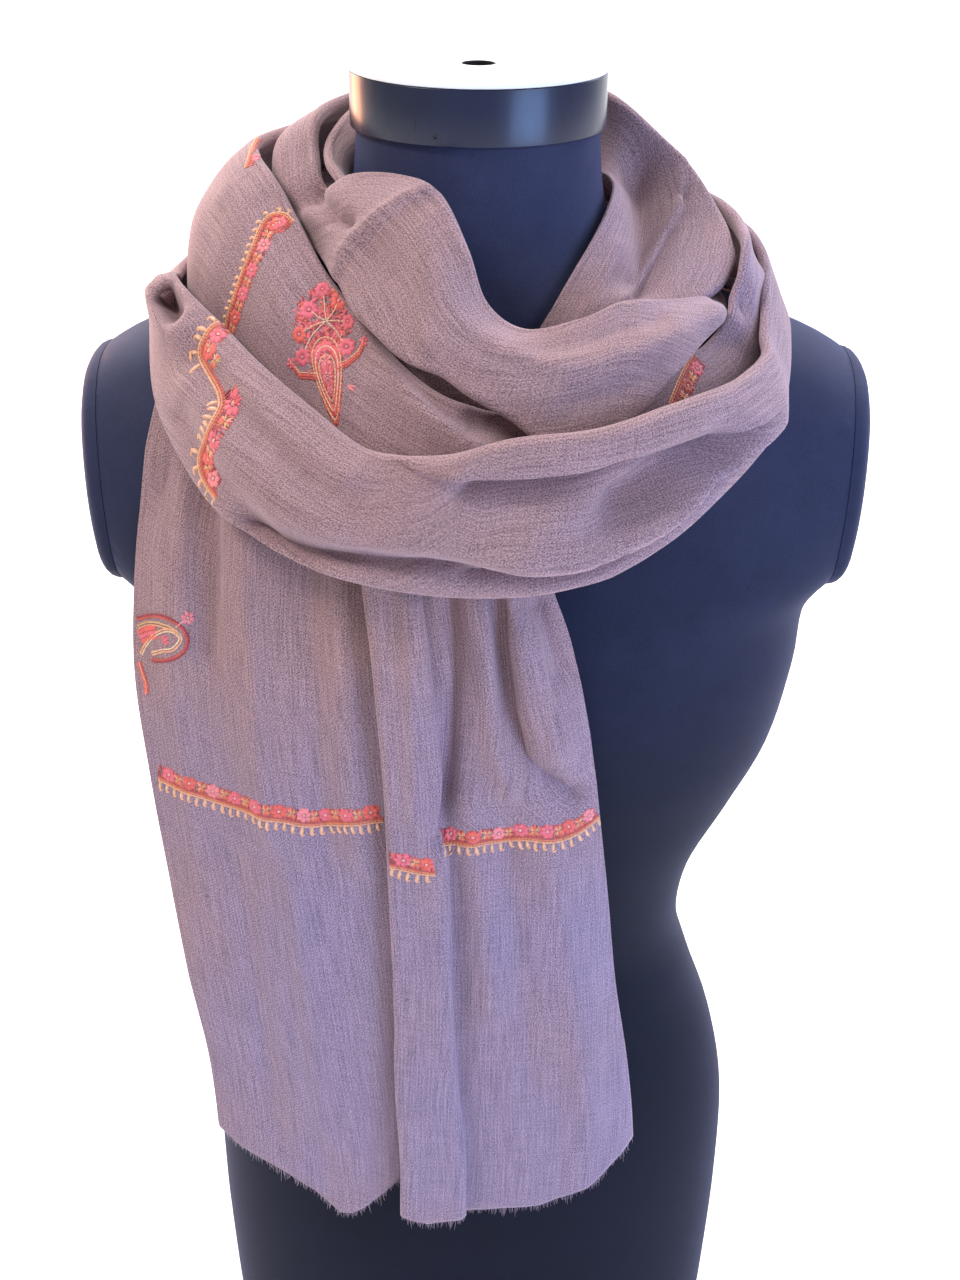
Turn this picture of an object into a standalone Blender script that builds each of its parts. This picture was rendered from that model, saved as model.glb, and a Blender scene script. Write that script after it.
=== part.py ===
"""A pashmina shawl wound round the neck of a limbless dress form.

Units are metres, +Z up. The origin is the centre of the form's flat base, and the form faces -Y.
A place round the neck is a turn in degrees: 0 in front, 90 at +X, 180 behind, -90 at -X.
The tables below hold whole millimetres and degrees, and MM turns them into metres.
"""

import math
from collections import namedtuple

import bmesh
import bpy
from mathutils import Vector
from mathutils.bvhtree import BVHTree

MM = 0.001

# ---------------------------------------------------------------- driving dimensions

NECK_RADIUS = 0.0575
BAND_BOTTOM = 0.7537
BAND_TOP = 0.779
BAND_WALL = 0.0022
CAP_RADIUS = 0.0605
CAP_THICKNESS = 0.002
CAP_HOLE_RADIUS = 0.007
ARMHOLE_REACH = 0.178  # from the form's axis to the armhole's centre
ARMHOLE_HEIGHT = 0.600
ARMHOLE_FOOT = 0.490  # the armhole's cut reaches no lower
ARMHOLE_TILT = math.radians(5.3)  # the armhole faces out and a little down
PLATE_DOME = 0.012
SEAM_GAP = 0.0003

CLOTH_WALL = 0.0016
CLOTH_CLEAR = 0.0005  # air between the cloth and the form where it rests
CLOTH_APART = 0.0012  # air between two stretches of cloth
FRONT_TURN = 55  # nearer the front than this the loops cross over each other, and their tables keep them apart
STEPS_PER_STATION = 2
STATION_PITCH = 0.024  # the mean length between two stations
NEAR_FORM = 0.03  # cloth further from the form than this isn't tested against it
EASING = 0.8  # how much of a row's shift the row beside it takes over
EASING_PASSES = 6
RESTING_PASSES = 5
FOLD_FADE = 0.75  # how much of its depth a tail's fold loses by its lower end
FOLD_RUN_OUT = 0.02
TUCK_FROM = 0.09  # the tails are tucked in no nearer the axis than this
HEM_LIFTS = (0.0, 0.003, 0.006, 0.009)  # a tail clears the loop's hem this far above each of its points too
FRINGE_STRIP = 0.002
FRINGE_WALL = 0.0012
FRINGE_GAP = 0.0005
LOCK_LENGTH = 0.0055
LOCK_PITCH = 0.0023
TORSO_SIDES = 32
TURNED_SIDES = 32
SHARP_TURN = math.radians(40)
FINE_FROM = 10  # the torso's rings are doubled above this row of its table

# ---------------------------------------------------------------- tables

# One row for each height of the torso: half its width, its front and back reach, and how square it is.
TorsoRing = namedtuple("TorsoRing", "height half_width front back square")
TORSO = [
    TorsoRing(0, 132, 92, 98, 2.2),
    TorsoRing(50, 137, 96, 104, 2.2),
    TorsoRing(100, 141, 99, 111, 2.2),
    TorsoRing(155, 144, 101, 117, 2.2),
    TorsoRing(212, 144, 101, 120, 2.2),
    TorsoRing(255, 136, 98, 112, 2.2),
    TorsoRing(295, 122, 92, 96, 2.2),
    TorsoRing(330, 113, 87, 87, 2.2),
    TorsoRing(370, 119, 91, 87, 2.25),
    TorsoRing(411, 139, 100, 93, 2.3),
    TorsoRing(449, 156, 111, 98, 2.35),
    TorsoRing(491, 165, 116, 101, 2.4),
    TorsoRing(528, 170, 112, 102, 2.5),
    TorsoRing(555, 195, 102, 101, 2.6),
    TorsoRing(590, 210, 90, 98, 2.6),
    TorsoRing(622, 204, 79, 93, 2.5),
    TorsoRing(646, 179, 70, 85, 2.35),
    TorsoRing(662, 145, 65, 77, 2.2),
    TorsoRing(678, 105, 62, 69, 2.1),
    TorsoRing(694, 78, 60, 63, 2.0),
    TorsoRing(714, 62, 58, 59, 2.0),
    TorsoRing(746, 57.5, 57.5, 57.5, 2.0),
    TorsoRing(778.5, 57.5, 57.5, 57.5, 2.0),
]

# Share of the armhole's outline, and share of the dome's height, for each ring of an arm plate.
PlateRing = namedtuple("PlateRing", "outline dome")
ARM_PLATE = [
    PlateRing(1.0, 0.0),
    PlateRing(0.98, 0.35),
    PlateRing(0.92, 0.62),
    PlateRing(0.78, 0.84),
    PlateRing(0.48, 0.96),
    PlateRing(0.18, 1.0),
]

# A stretch of cloth is a band between two rails. Each row is a station along it: the place of the rim rail and of
# the hem rail, how far the face bows out between them, how far the cloth turns in behind the rim and under the hem,
# and how far apart the face and those turnings lie.
Station = namedtuple("Station", "rim_turn rim_reach rim_height hem_turn hem_reach hem_height belly tuck under fold")

COLLAR = [  # the first rail lies against the neck, and the second is the outer top edge
    Station(-34, 84, 678, -29, 101, 652, 2, 0, 3, 4),
    Station(-14, 88, 672, -8, 111, 645, 2, 0, 3, 4),
    Station(6, 84, 668, 16, 111, 650, 2, 0, 3, 4),
    Station(17, 79, 670, 42, 103, 668, 1, 0, 3, 4),
    Station(25, 75, 680, 54, 111, 678, 0, 0, 3, 4),
    Station(36, 72, 696, 68, 118, 691, -4, 0, 4, 4),
    Station(52, 68, 711, 80, 119, 703, -7, 0, 5, 4),
    Station(72, 65, 722, 91, 113, 715, -9, 0, 7, 4),
    Station(92, 64, 727, 104, 102, 732, -9, 0, 9, 4),
    Station(112, 63, 726, 120, 82, 754, -6, 0, 10, 4.5),
    Station(134, 62, 724, 138, 78, 760, -4, 0, 12, 5),
    Station(156, 62, 722, 158, 77, 762, -2, 0, 12, 5),
    Station(180, 62, 722, 180, 77, 761, 0, 0, 12, 5),
    Station(-156, 62, 724, -156, 76, 758, 1, 0, 12, 5),
    Station(-130, 62, 728, -130, 74, 752, 4, 0, 10, 4.5),
    Station(-104, 62, 726, -104, 69, 744, 4, 0, 5, 4),
    Station(-82, 62, 722, -82, 68, 738, 3, 0, 3, 3.6),
    Station(-62, 62, 716, -62, 67, 732, 2, 0, 3, 3.6),
    Station(-46, 62, 709, -46, 67, 722, 2, 0, 3, 3.2),
]

INNER_LOOP = [
    Station(180, 88, 756, 180, 106, 704, 4, 12, 8, 5),
    Station(-150, 87, 757, -150, 108, 708, 4, 12, 8, 5),
    Station(-124, 85, 755, -122, 106, 716, 6, 12, 6, 5),
    Station(-102, 82, 751, -98, 98, 726, 8, 10, 4, 5),
    Station(-82, 79, 738, -80, 94, 717, 6, 8, 4, 5),
    Station(-67, 78, 727, -71, 90, 712, 3, 8, 4, 4),
    Station(-50, 76, 738, -61, 89, 710, 6, 12, 4, 4),
    Station(-30, 72, 741, -50, 91, 707, 8, 14, 4, 4),
    Station(-13, 85, 738, -38, 99, 701, 5, 16, 4, 4.5),
    Station(-4, 102, 719, -25, 114, 688, 6, 18, 5, 5),
    Station(1, 114, 698, -11, 130, 674, 7, 18, 6, 5.5),
    Station(9, 123, 688, -1, 142, 664, 7, 18, 8, 6),
    Station(20, 129, 692, 11, 153, 652, 7, 20, 8, 6),
    Station(30, 128, 697, 22, 154, 654, 7, 20, 8, 6),
    Station(42, 124, 694, 36, 144, 673, 5, 14, 6, 5),
    Station(56, 120, 689, 49, 132, 680, 3, 7, 3, 3.6),
    Station(64, 115, 682, 60, 120, 677, 1, 2, 1.5, 3.4),
    Station(77, 110, 681, 77, 114, 676, 1, 2, 1.5, 3.4),
    Station(93, 106, 698, 93, 113, 683, 1, 5, 3, 3.6),
    Station(115, 98, 716, 114, 109, 686, 2, 7, 4, 3.6),
    Station(145, 93, 739, 145, 108, 696, 4, 10, 6, 4.5),
]

MIDDLE_LOOP = [
    Station(180, 108, 738, 180, 127, 682, 4, 10, 6, 5),
    Station(-154, 109, 740, -154, 129, 686, 5, 10, 6, 5),
    Station(-130, 111, 738, -130, 132, 690, 7, 10, 6, 5),
    Station(-107, 113, 736, -103, 138, 680, 8, 10, 6, 5),
    Station(-89, 106, 735, -86, 137, 670, 11, 8, 5, 5),
    Station(-74, 99, 727, -74, 130, 662, 11, 8, 5, 5),
    Station(-60, 98, 716, -62, 124, 653, 9, 7, 5, 4),
    Station(-47, 100, 702, -50, 123, 645, 8, 7, 5, 4),
    Station(-34, 98, 684, -38, 126, 637, 6, 8, 5, 4.5),
    Station(-18, 112, 667, -24, 135, 630, 3, 8, 5, 5),
    Station(-5, 127, 657, -9, 140, 626, 2, 8, 5, 5),
    Station(8, 133, 654, 6, 143, 623, 2, 8, 5, 5),
    Station(22, 135, 653, 22, 144, 624, 2, 8, 5, 5),
    Station(37, 130, 664, 37, 144, 631, 3, 8, 5, 5),
    Station(57, 126, 672, 57, 143, 646, 2, 7, 5, 4),
    Station(72, 126, 701, 72, 136, 662, 1, 10, 4, 3.4),
    Station(88, 122, 709, 88, 131, 672, 1.5, 8, 4, 3.4),
    Station(105, 118, 713, 105, 128, 670, 1.5, 4, 4, 3.4),
    Station(125, 111, 721, 125, 129, 662, 4, 8, 5, 4),
    Station(150, 106, 731, 150, 126, 674, 4, 10, 6, 4.5),
]

OUTER_LOOP = [
    Station(180, 124, 712, 180, 142, 654, 5, 12, 8, 5),
    Station(-152, 126, 710, -152, 144, 652, 5, 12, 8, 5),
    Station(-128, 132, 697, -126, 147, 658, 4, 10, 7, 5),
    Station(-106, 141, 683, -103, 150, 662, 3, 7, 5, 4),
    Station(-90, 144, 681, -89, 152, 665, 3, 6, 5, 4),
    Station(-77, 142, 684, -77, 156, 662, 4, 9, 4, 3.8),
    Station(-64, 137, 678, -66, 160, 639, 6, 9, 5, 3.8),
    Station(-48, 137, 666, -53, 163, 620, 8, 9, 7, 4.5),
    Station(-32, 144, 653, -41, 165, 605, 9, 9, 9, 6.5),
    Station(-18, 156, 641, -27, 166, 595, 8, 10, 10, 7),
    Station(-6, 165, 644, -13, 164, 589, 8, 10, 10, 7),
    Station(5, 169, 653, 0, 163, 586, 6, 10, 10, 7),
    Station(17, 171, 656, 13, 164, 588, 5, 10, 10, 7),
    Station(30, 167, 661, 26, 162, 595, 5, 10, 10, 7),
    Station(45, 158, 662, 41, 158, 612, 5, 9, 9, 6),
    Station(61, 149, 668, 59, 154, 632, 4, 8, 8, 4.5),
    Station(78, 135, 687, 77, 144, 659, 3, 5, 4, 3.4),
    Station(95, 129, 698, 95, 140, 666, 3, 5, 4, 3.4),
    Station(108, 125, 702, 108, 139, 661, 3, 6, 4, 3.4),
    Station(124, 124, 704, 124, 141, 651, 3, 8, 6, 4),
    Station(150, 122, 709, 150, 140, 649, 4, 10, 8, 5),
]

# Shares of the way across a stretch's face at which it has points, and the angles of the rolls at its edges.
FACE_SHARES = (0.12, 0.32, 0.53, 0.74, 0.90)
OUTER_SHARES = (0.08, 0.16, 0.24, 0.40, 0.58, 0.70, 0.78, 0.86, 0.94)
ROLL_ANGLES = [math.radians(angle) for angle in (90, 0, -90)]

# A fold is a soft ridge (positive) or trough (negative) along a line on a stretch's face. Its ends are given in
# stations along the stretch and in shares of the way across from rim to hem.
Fold = namedtuple("Fold", "along_1 across_1 along_2 across_2 width height")
INNER_FOLDS = [
    Fold(5.0, 0.10, 7.6, 0.62, 6, -4),   # crease between the shoulder part and the bulge
    Fold(8.0, 0.05, 8.0, 0.95, 6, 4),    # ridge where the loop turns down
]
OUTER_FOLDS = [
    Fold(9.0, 0.22, 15.4, 0.20, 5, -4),    # under the rolled top edge
    Fold(8.4, 0.86, 11.5, 0.80, 6, -6),    # long crease above the lower lip
    Fold(11.5, 0.80, 15.8, 0.60, 6, -7),
    Fold(13.2, 0.34, 14.6, 0.42, 10, -4),  # dent at the right
]

# A tail is a row for each height: the x of its edges, and how far in front of the axis each lies.
TailRow = namedtuple("TailRow", "height left left_depth right right_depth belly")
LEFT_TAIL = [
    TailRow(658, -140, 40, -46, 100, 3),
    TailRow(640, -148, 50, -42, 110, 4),
    TailRow(615, -154, 60, -36, 122, 6),
    TailRow(566, -159, 82, -30, 128, 8),
    TailRow(515, -161, 94, -26, 132, 8),
    TailRow(465, -156, 101, -22, 132, 8),
    TailRow(410, -149, 106, -20, 131, 7),
    TailRow(350, -142, 108, -19, 130, 6),
    TailRow(300, -134, 109, -18, 128, 6),
    TailRow(250, -131, 109, -18, 127, 6),
]
RIGHT_TAIL = [
    TailRow(606, -49, 146, 30, 143, 1),
    TailRow(583, -48, 148, 33, 143, 2),
    TailRow(545, -44, 149, 44, 140, 3),
    TailRow(506, -41, 149, 52, 138, 3),
    TailRow(470, -39, 148, 58, 136, 3),
    TailRow(410, -38, 147, 65, 133, 3),
    TailRow(355, -37, 146, 71, 131, 4),
    TailRow(300, -36, 145, 80, 130, 4),
    TailRow(250, -33, 145, 85, 129, 4),
]

# The height of a tail's top or hem at shares of the way from its left edge to its right.
EdgePoint = namedtuple("EdgePoint", "across height")
LEFT_TOP = [
    EdgePoint(0.0, 651), EdgePoint(0.12, 644), EdgePoint(0.30, 632), EdgePoint(0.50, 617), EdgePoint(1.0, 604),
]
LEFT_HEM = [
    EdgePoint(0.0, 257), EdgePoint(0.10, 246), EdgePoint(0.33, 234), EdgePoint(0.44, 226), EdgePoint(0.50, 219),
    EdgePoint(0.56, 213), EdgePoint(0.62, 214), EdgePoint(0.68, 219), EdgePoint(0.77, 229), EdgePoint(0.85, 240),
    EdgePoint(1.0, 246),
]
RIGHT_TOP = [EdgePoint(0.0, 606), EdgePoint(1.0, 606)]
RIGHT_HEM = [
    EdgePoint(0.0, 221), EdgePoint(0.10, 217), EdgePoint(0.33, 220), EdgePoint(0.59, 223), EdgePoint(0.80, 234),
    EdgePoint(1.0, 256),
]

# Folds of a tail run down it: their place across and height at each end, in shares and millimetres.
TailFold = namedtuple("TailFold", "across_1 height_1 across_2 height_2 width depth")
LEFT_TAIL_FOLDS = [
    TailFold(0.24, 615, 0.26, 530, 9, -5),
    TailFold(0.62, 600, 0.60, 500, 12, -3),
    TailFold(0.45, 610, 0.42, 380, 14, 3),
]
RIGHT_TAIL_FOLDS = [
    TailFold(0.66, 605, 0.58, 470, 6, -5),
    TailFold(0.90, 605, 0.78, 480, 7, -6),
    TailFold(0.80, 610, 0.70, 500, 6, 4),
]

# Shares of the way down a tail at which it has a row of points.
LEVELS = (0.0, 0.035, 0.075, 0.12, 0.18, 0.26, 0.36, 0.48, 0.60, 0.73, 0.87, 1.0)

# Columns across a tail: the share of its width, and how far in front of the face the column lies. The right tail's
# first columns are turned behind it, and carry no fringe.
HIDDEN_COLUMNS = 3
Column = namedtuple("Column", "across push")
LEFT_LAYOUT = [
    Column(0.0, 0), Column(0.05, 0), Column(0.11, 0), Column(0.18, 0), Column(0.25, 0), Column(0.33, 0),
    Column(0.39, 0), Column(0.44, 0), Column(0.50, 0), Column(0.56, 0), Column(0.62, 0), Column(0.68, 0),
    Column(0.77, 0), Column(0.85, 0), Column(1.0, 0),
]
RIGHT_LAYOUT = [
    Column(0.16, -5), Column(0.08, -5), Column(0.02, -4.6), Column(-0.01, -2.6), Column(0.02, -0.5),
    Column(0.08, 0), Column(0.15, 0), Column(0.22, 0), Column(0.25, -1.5), Column(0.26, -4), Column(0.25, -6.4),
    Column(0.28, -8), Column(0.36, -6), Column(0.44, -5), Column(0.52, -4), Column(0.58, -3), Column(0.64, -2),
    Column(0.70, -1), Column(0.76, 0), Column(0.82, 0), Column(0.88, -1), Column(0.94, -4), Column(1.0, -8),
]


# ---------------------------------------------------------------- shared tools

def clear_scene():
    for thing in list(bpy.data.objects):
        bpy.data.objects.remove(thing, do_unlink=True)


def material(name, colour, roughness, metallic=0.0):
    made = bpy.data.materials.new(name)
    made.use_nodes = True
    shader = made.node_tree.nodes["Principled BSDF"]
    shader.inputs["Base Color"].default_value = (*colour, 1.0)
    shader.inputs["Roughness"].default_value = roughness
    shader.inputs["Metallic"].default_value = metallic
    return made


def to_object(name, mesh_tools, finish):
    """An object from a bmesh, with its faces out and shaded smooth."""
    bmesh.ops.recalc_face_normals(mesh_tools, faces=mesh_tools.faces)
    mesh = bpy.data.meshes.new(name)
    mesh_tools.to_mesh(mesh)
    mesh_tools.free()
    mesh.shade_smooth()
    mesh.materials.append(finish)
    made = bpy.data.objects.new(name, mesh)
    bpy.context.collection.objects.link(made)
    return made


def spline(rows, place, closed=False):
    """The columns of a table at a place between its rows, on a Catmull-Rom curve."""
    count = len(rows)
    first = math.floor(place)
    share = place - first

    def row(index):
        return rows[index % count] if closed else rows[min(max(index, 0), count - 1)]

    out = []
    for a, b, c, d in zip(row(first - 1), row(first), row(first + 1), row(first + 2)):
        bend = 2 * a - 5 * b + 4 * c - d
        twist = 3 * b - a - 3 * c + d
        out.append(0.5 * (2 * b + share * (c - a + share * (bend + share * twist))))
    return out


def bridge_rings(shape, rings, closed_along=False, closed_across=True):
    """Quads between neighbouring rings of vertices."""
    count = len(rings)
    for i in range(count if closed_along else count - 1):
        here, there = rings[i], rings[(i + 1) % count]
        width = len(here)
        for j in range(width if closed_across else width - 1):
            k = (j + 1) % width
            shape.faces.new((here[j], here[k], there[k], there[j]))


def surface_of(thing):
    return BVHTree.FromObject(thing, bpy.context.evaluated_depsgraph_get())


# ---------------------------------------------------------------- the dress form

def torso_ring(row, sides):
    """A squared oval with its own reach in front and behind."""
    _, half_width, front, back, square = row
    points = []
    for side in range(sides):
        angle = 2 * math.pi * side / sides
        c, s = math.cos(angle), math.sin(angle)
        depth = back if s > 0 else front
        x = half_width * math.copysign(abs(c) ** (2 / square), c)
        y = depth * math.copysign(abs(s) ** (2 / square), s)
        points.append(Vector((x * MM, y * MM, row[0] * MM)))
    return points


def make_torso(finish):
    """The torso and neck, cut flat at the armholes. Returns it and the two armhole outlines."""
    shape = bmesh.new()
    places = [index / 2 for index in range(2 * len(TORSO) - 1) if index % 2 == 0 or index > 2 * FINE_FROM]
    rings = []
    for place in places:
        rings.append([shape.verts.new(point) for point in torso_ring(spline(TORSO, place), TORSO_SIDES)])
    bridge_rings(shape, rings)
    shape.faces.new(rings[0])
    shape.faces.new(rings[-1])
    outlines = {}
    for side in (-1, 1):
        centre = Vector((side * ARMHOLE_REACH, 0, ARMHOLE_HEIGHT))
        facing = Vector((side * math.cos(ARMHOLE_TILT), 0, -math.sin(ARMHOLE_TILT)))
        upper = [face for face in shape.faces if min(vert.co.z for vert in face.verts) > ARMHOLE_FOOT]
        parts = {part for face in upper for part in (*face.verts, *face.edges)}
        cut = bmesh.ops.bisect_plane(
            shape, geom=list(parts) + upper,
            plane_co=centre, plane_no=facing, clear_outer=True)
        edges = [item for item in cut["geom_cut"] if isinstance(item, bmesh.types.BMEdge)]
        face = bmesh.ops.edgeloop_fill(shape, edges=edges)["faces"][0]
        outlines[side] = ([vert.co.copy() for vert in face.verts], facing)
    return to_object("form_torso", shape, finish), outlines


def make_arm_plate(name, outline, facing, finish):
    """A domed plate on an armhole's outline, a seam's gap away from the torso."""
    shape = bmesh.new()
    centre = sum(outline, Vector()) / len(outline)
    rings = []
    for row in ARM_PLATE:
        lift = facing * (SEAM_GAP + row.dome * PLATE_DOME)
        rings.append([shape.verts.new(centre + (point - centre) * row.outline + lift) for point in outline])
    bridge_rings(shape, rings)
    shape.faces.new(rings[0])
    shape.faces.new(rings[-1])
    return to_object(name, shape, finish)


def make_turned(name, profile, finish):
    """A ring turned round the Z axis from a closed profile of radius and height."""
    shape = bmesh.new()
    rings = []
    for side in range(TURNED_SIDES):
        angle = 2 * math.pi * side / TURNED_SIDES
        c, s = math.cos(angle), math.sin(angle)
        rings.append([shape.verts.new((radius * c, radius * s, height)) for radius, height in profile])
    bridge_rings(shape, rings, closed_along=True)
    made = to_object(name, shape, finish)
    made.data.set_sharp_from_angle(angle=SHARP_TURN)
    return made


def make_form():
    jersey = material("form_jersey", (0.020, 0.022, 0.040), 0.85)
    gloss = material("form_gloss", (0.012, 0.013, 0.020), 0.25)
    white = material("form_white", (0.85, 0.85, 0.83), 0.5)
    torso, outlines = make_torso(jersey)
    make_arm_plate("form_arm_plate_left", *outlines[-1], jersey)
    make_arm_plate("form_arm_plate_right", *outlines[1], jersey)
    inner = NECK_RADIUS + SEAM_GAP
    outer = inner + BAND_WALL
    make_turned("neck_band", [(inner, BAND_BOTTOM), (outer, BAND_BOTTOM), (outer, BAND_TOP), (inner, BAND_TOP)],
                gloss)
    low = BAND_TOP + SEAM_GAP
    high = low + CAP_THICKNESS
    make_turned("neck_cap", [(CAP_HOLE_RADIUS, low), (CAP_RADIUS, low), (CAP_RADIUS, high), (CAP_HOLE_RADIUS, high)],
                white)
    return torso


# ---------------------------------------------------------------- cloth bands

def on_neck(turn, reach, height):
    angle = math.radians(turn)
    return math.sin(angle) * reach * MM, -math.cos(angle) * reach * MM, height * MM


def station_values(row):
    return (*on_neck(row.rim_turn, row.rim_reach, row.rim_height),
            *on_neck(row.hem_turn, row.hem_reach, row.hem_height),
            row.belly * MM, row.tuck * MM, row.under * MM, row.fold * MM)


def fold_height(folds, along, across, width):
    """How far the folds push the face out at a place on it."""
    total = 0.0
    for fold in folds:
        start = Vector((fold.along_1 * STATION_PITCH, fold.across_1 * width))
        run = Vector((fold.along_2 * STATION_PITCH, fold.across_2 * width)) - start
        here = Vector((along * STATION_PITCH, across * width))
        share = min(max((here - start).dot(run) / max(run.length_squared, 1e-12), 0.0), 1.0)
        distance = (here - start - run * share).length
        total += fold.height * MM * math.exp(-(distance / (fold.width * MM)) ** 2)
    return total


def band_section(shares, width, belly, tuck, under, fold, rise, rolled_rim):
    """One station's outline: down the chord from rim to hem, and out from it.

    It runs up the tucked side, over the rim, down the face, round the hem and back under it.
    """
    lip = fold / 2

    def face(share):
        return belly * math.sin(math.pi * share) + rise(share)

    section = []
    if rolled_rim:
        section += [(tuck * part, face(tuck * part / width) - fold) for part in (1.0, 0.5)]
        section += [(-lip * math.cos(angle), -lip - lip * math.sin(angle)) for angle in ROLL_ANGLES]
    else:
        section.append((0.0, 0.0))
    section += [(share * width, face(share)) for share in shares]
    section += [(width + lip * math.cos(angle), -lip + lip * math.sin(angle)) for angle in ROLL_ANGLES]
    section.append((width - under, face(1 - under / width) - fold))
    return section


def band_grid(table, closed, shares, folds):
    """Points of a cloth band, a row for each step along it. A closed band has a rolled rim."""
    steps = STEPS_PER_STATION
    rows = [station_values(row) for row in table]
    count = len(rows) * steps if closed else (len(rows) - 1) * steps + 1
    stations = [spline(rows, step / steps, closed) for step in range(count)]
    grid = []
    for step, values in enumerate(stations):
        rim, hem = Vector(values[0:3]), Vector(values[3:6])
        ahead = stations[(step + 1) % count if closed else min(step + 1, count - 1)]
        behind = stations[step - 1 if closed or step else 0]
        travel = sum((Vector(ahead[k:k + 3]) - Vector(behind[k:k + 3]) for k in (0, 3)), Vector())
        across = hem - rim
        width = across.length
        outward = across.cross(travel).normalized()
        down = across / width

        def rise(share):
            return fold_height(folds, step / steps, share, width)

        section = band_section(shares, width, *values[6:10], rise, rolled_rim=closed)
        grid.append([rim + down * c + outward * n for c, n in section])
    return grid


def spread(shifts, closed):
    """Eases each row's shift into its neighbours, so that no row stands alone."""
    count = len(shifts)
    for _ in range(EASING_PASSES):
        eased = []
        for row, shift in enumerate(shifts):
            around = [shifts[(row + step) % count] if closed else shifts[min(max(row + step, 0), count - 1)]
                      for step in (-1, 1)]
            longest = max(around, key=lambda one: one.length)
            eased.append(longest * EASING if longest.length * EASING > shift.length else shift)
        shifts = eased
    return shifts


def probes(grid, place, closed):
    """The points of a row and of the cloth halfway to the rows beside it."""
    count = len(grid)
    points = list(grid[place])
    for step in (-1, 1):
        beside = grid[(place + step) % count if closed else min(max(place + step, 0), count - 1)]
        halfway = [(here + there) / 2 for here, there in zip(grid[place], beside)]
        points += halfway + [(here + there) / 2 for here, there in zip(halfway, halfway[1:])]
    return points


def rest_on(grid, surface, gap, closed):
    """Moves each row that is in or too near a thick solid out of it, all in one piece."""
    for _ in range(RESTING_PASSES):
        shifts = []
        for place in range(len(grid)):
            worst = Vector()
            for point in probes(grid, place, closed):
                near, facing, _, _ = surface.find_nearest(point)
                short = gap - (point - near).dot(facing)
                if short > worst.length and (point - near).length < NEAR_FORM:
                    worst = facing * short
            shifts.append(worst)
        for row, shift in zip(grid, spread(shifts, closed)):
            row[:] = [point + shift for point in row]


def stand_outside(grid, surface, gap, front_turn):
    """Moves each row of a ring out from the axis until it is outside a ring within it, except in front."""
    shifts = []
    for place, row in enumerate(grid):
        middle = sum(row, Vector()) / len(row)
        short = 0.0
        if abs(math.degrees(math.atan2(middle.x, -middle.y))) > front_turn:
            for point in probes(grid, place, True):
                out = Vector((point.x, point.y, 0)).normalized()
                hit = surface.ray_cast(point + out, -out, 1 + NEAR_FORM)[0]
                if hit is not None:
                    short = max(short, (hit - point).dot(out) + gap)
        shifts.append(Vector((middle.x, middle.y, 0)).normalized() * short)
    for row, shift in zip(grid, spread(shifts, True)):
        row[:] = [point + shift for point in row]


def make_cloth(name, grid, closed, finish):
    """A wall of cloth on a grid of points."""
    shape = bmesh.new()
    rings = [[shape.verts.new(point) for point in row] for row in grid]
    bridge_rings(shape, rings, closed_along=closed, closed_across=False)
    made = to_object(name, shape, finish)
    wall = made.modifiers.new("wall", "SOLIDIFY")
    wall.thickness = CLOTH_WALL
    wall.offset = 0.0
    return made


# ---------------------------------------------------------------- tails

def edge_height(points, across):
    """The height of a tail's top or hem at a share of its width."""
    for low, high in zip(points, points[1:]):
        if across <= high.across:
            share = (across - low.across) / (high.across - low.across)
            return (low.height + (high.height - low.height) * share) * MM
    return points[-1].height * MM


def tail_row(table, height):
    """The tail's row at a height, between the rows of its table."""
    for place, (high, low) in enumerate(zip(table, table[1:])):
        if height >= low.height * MM or place == len(table) - 2:
            share = (high.height * MM - height) / ((high.height - low.height) * MM)
            return TailRow(*spline(table, place + min(max(share, 0.0), 1.0)))
    return table[-1]


def tail_fold(folds, across, height, width):
    """How far a tail's folds push it forward at a place on it."""
    total = 0.0
    for fold in folds:
        span = (fold.height_1 - fold.height_2) * MM
        share = min(max((fold.height_1 * MM - height) / span, 0.0), 1.0)
        aside = (across - fold.across_1 - (fold.across_2 - fold.across_1) * share) * width
        past = max(fold.height_2 * MM - height, height - fold.height_1 * MM, 0.0)
        fade = 1.0 - FOLD_FADE * share
        total += fold.depth * MM * fade * math.exp(-(aside / (fold.width * MM)) ** 2 - (past / FOLD_RUN_OUT) ** 2)
    return total


def tail_path(table, folds, across, height, push):
    """A point of a tail's face, pushed forward by push."""
    row = tail_row(table, height)
    width = (row.right - row.left) * MM
    x = (row.left + (row.right - row.left) * across) * MM
    depth = (row.left_depth + (row.right_depth - row.left_depth) * across) * MM
    depth += row.belly * MM * math.sin(math.pi * min(max(across, 0.0), 1.0))
    depth += tail_fold(folds, across, height, width)
    return Vector((x, -depth - push, height))


def tail_grid(table, top, hem, folds, layout, levels):
    """Points of a tail, a row for each level down it. layout gives each column its place across and its push."""
    grid = []
    for level in levels:
        row = []
        for column in layout:
            across = min(max(column.across, 0.0), 1.0)
            high, low = edge_height(top, across), edge_height(hem, across)
            height = high + (low - high) * level
            row.append(tail_path(table, folds, column.across, height, column.push * MM))
        grid.append(row)
    return grid


def tuck_inside(grid, loop, gap):
    """Moves the points of a tail in towards the axis until they are behind the loop they hang from."""
    for row in grid:
        for place, point in enumerate(row):
            reach = math.hypot(point.x, point.y)
            out = Vector((point.x, point.y, 0)) / reach
            room = reach
            for lift in HEM_LIFTS:
                hit = loop.ray_cast(Vector((0, 0, point.z + lift)) + out * TUCK_FROM, out)[0]
                if hit is not None:
                    room = min(room, math.hypot(hit.x, hit.y) - gap)
            row[place] = point - out * (reach - room)


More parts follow.
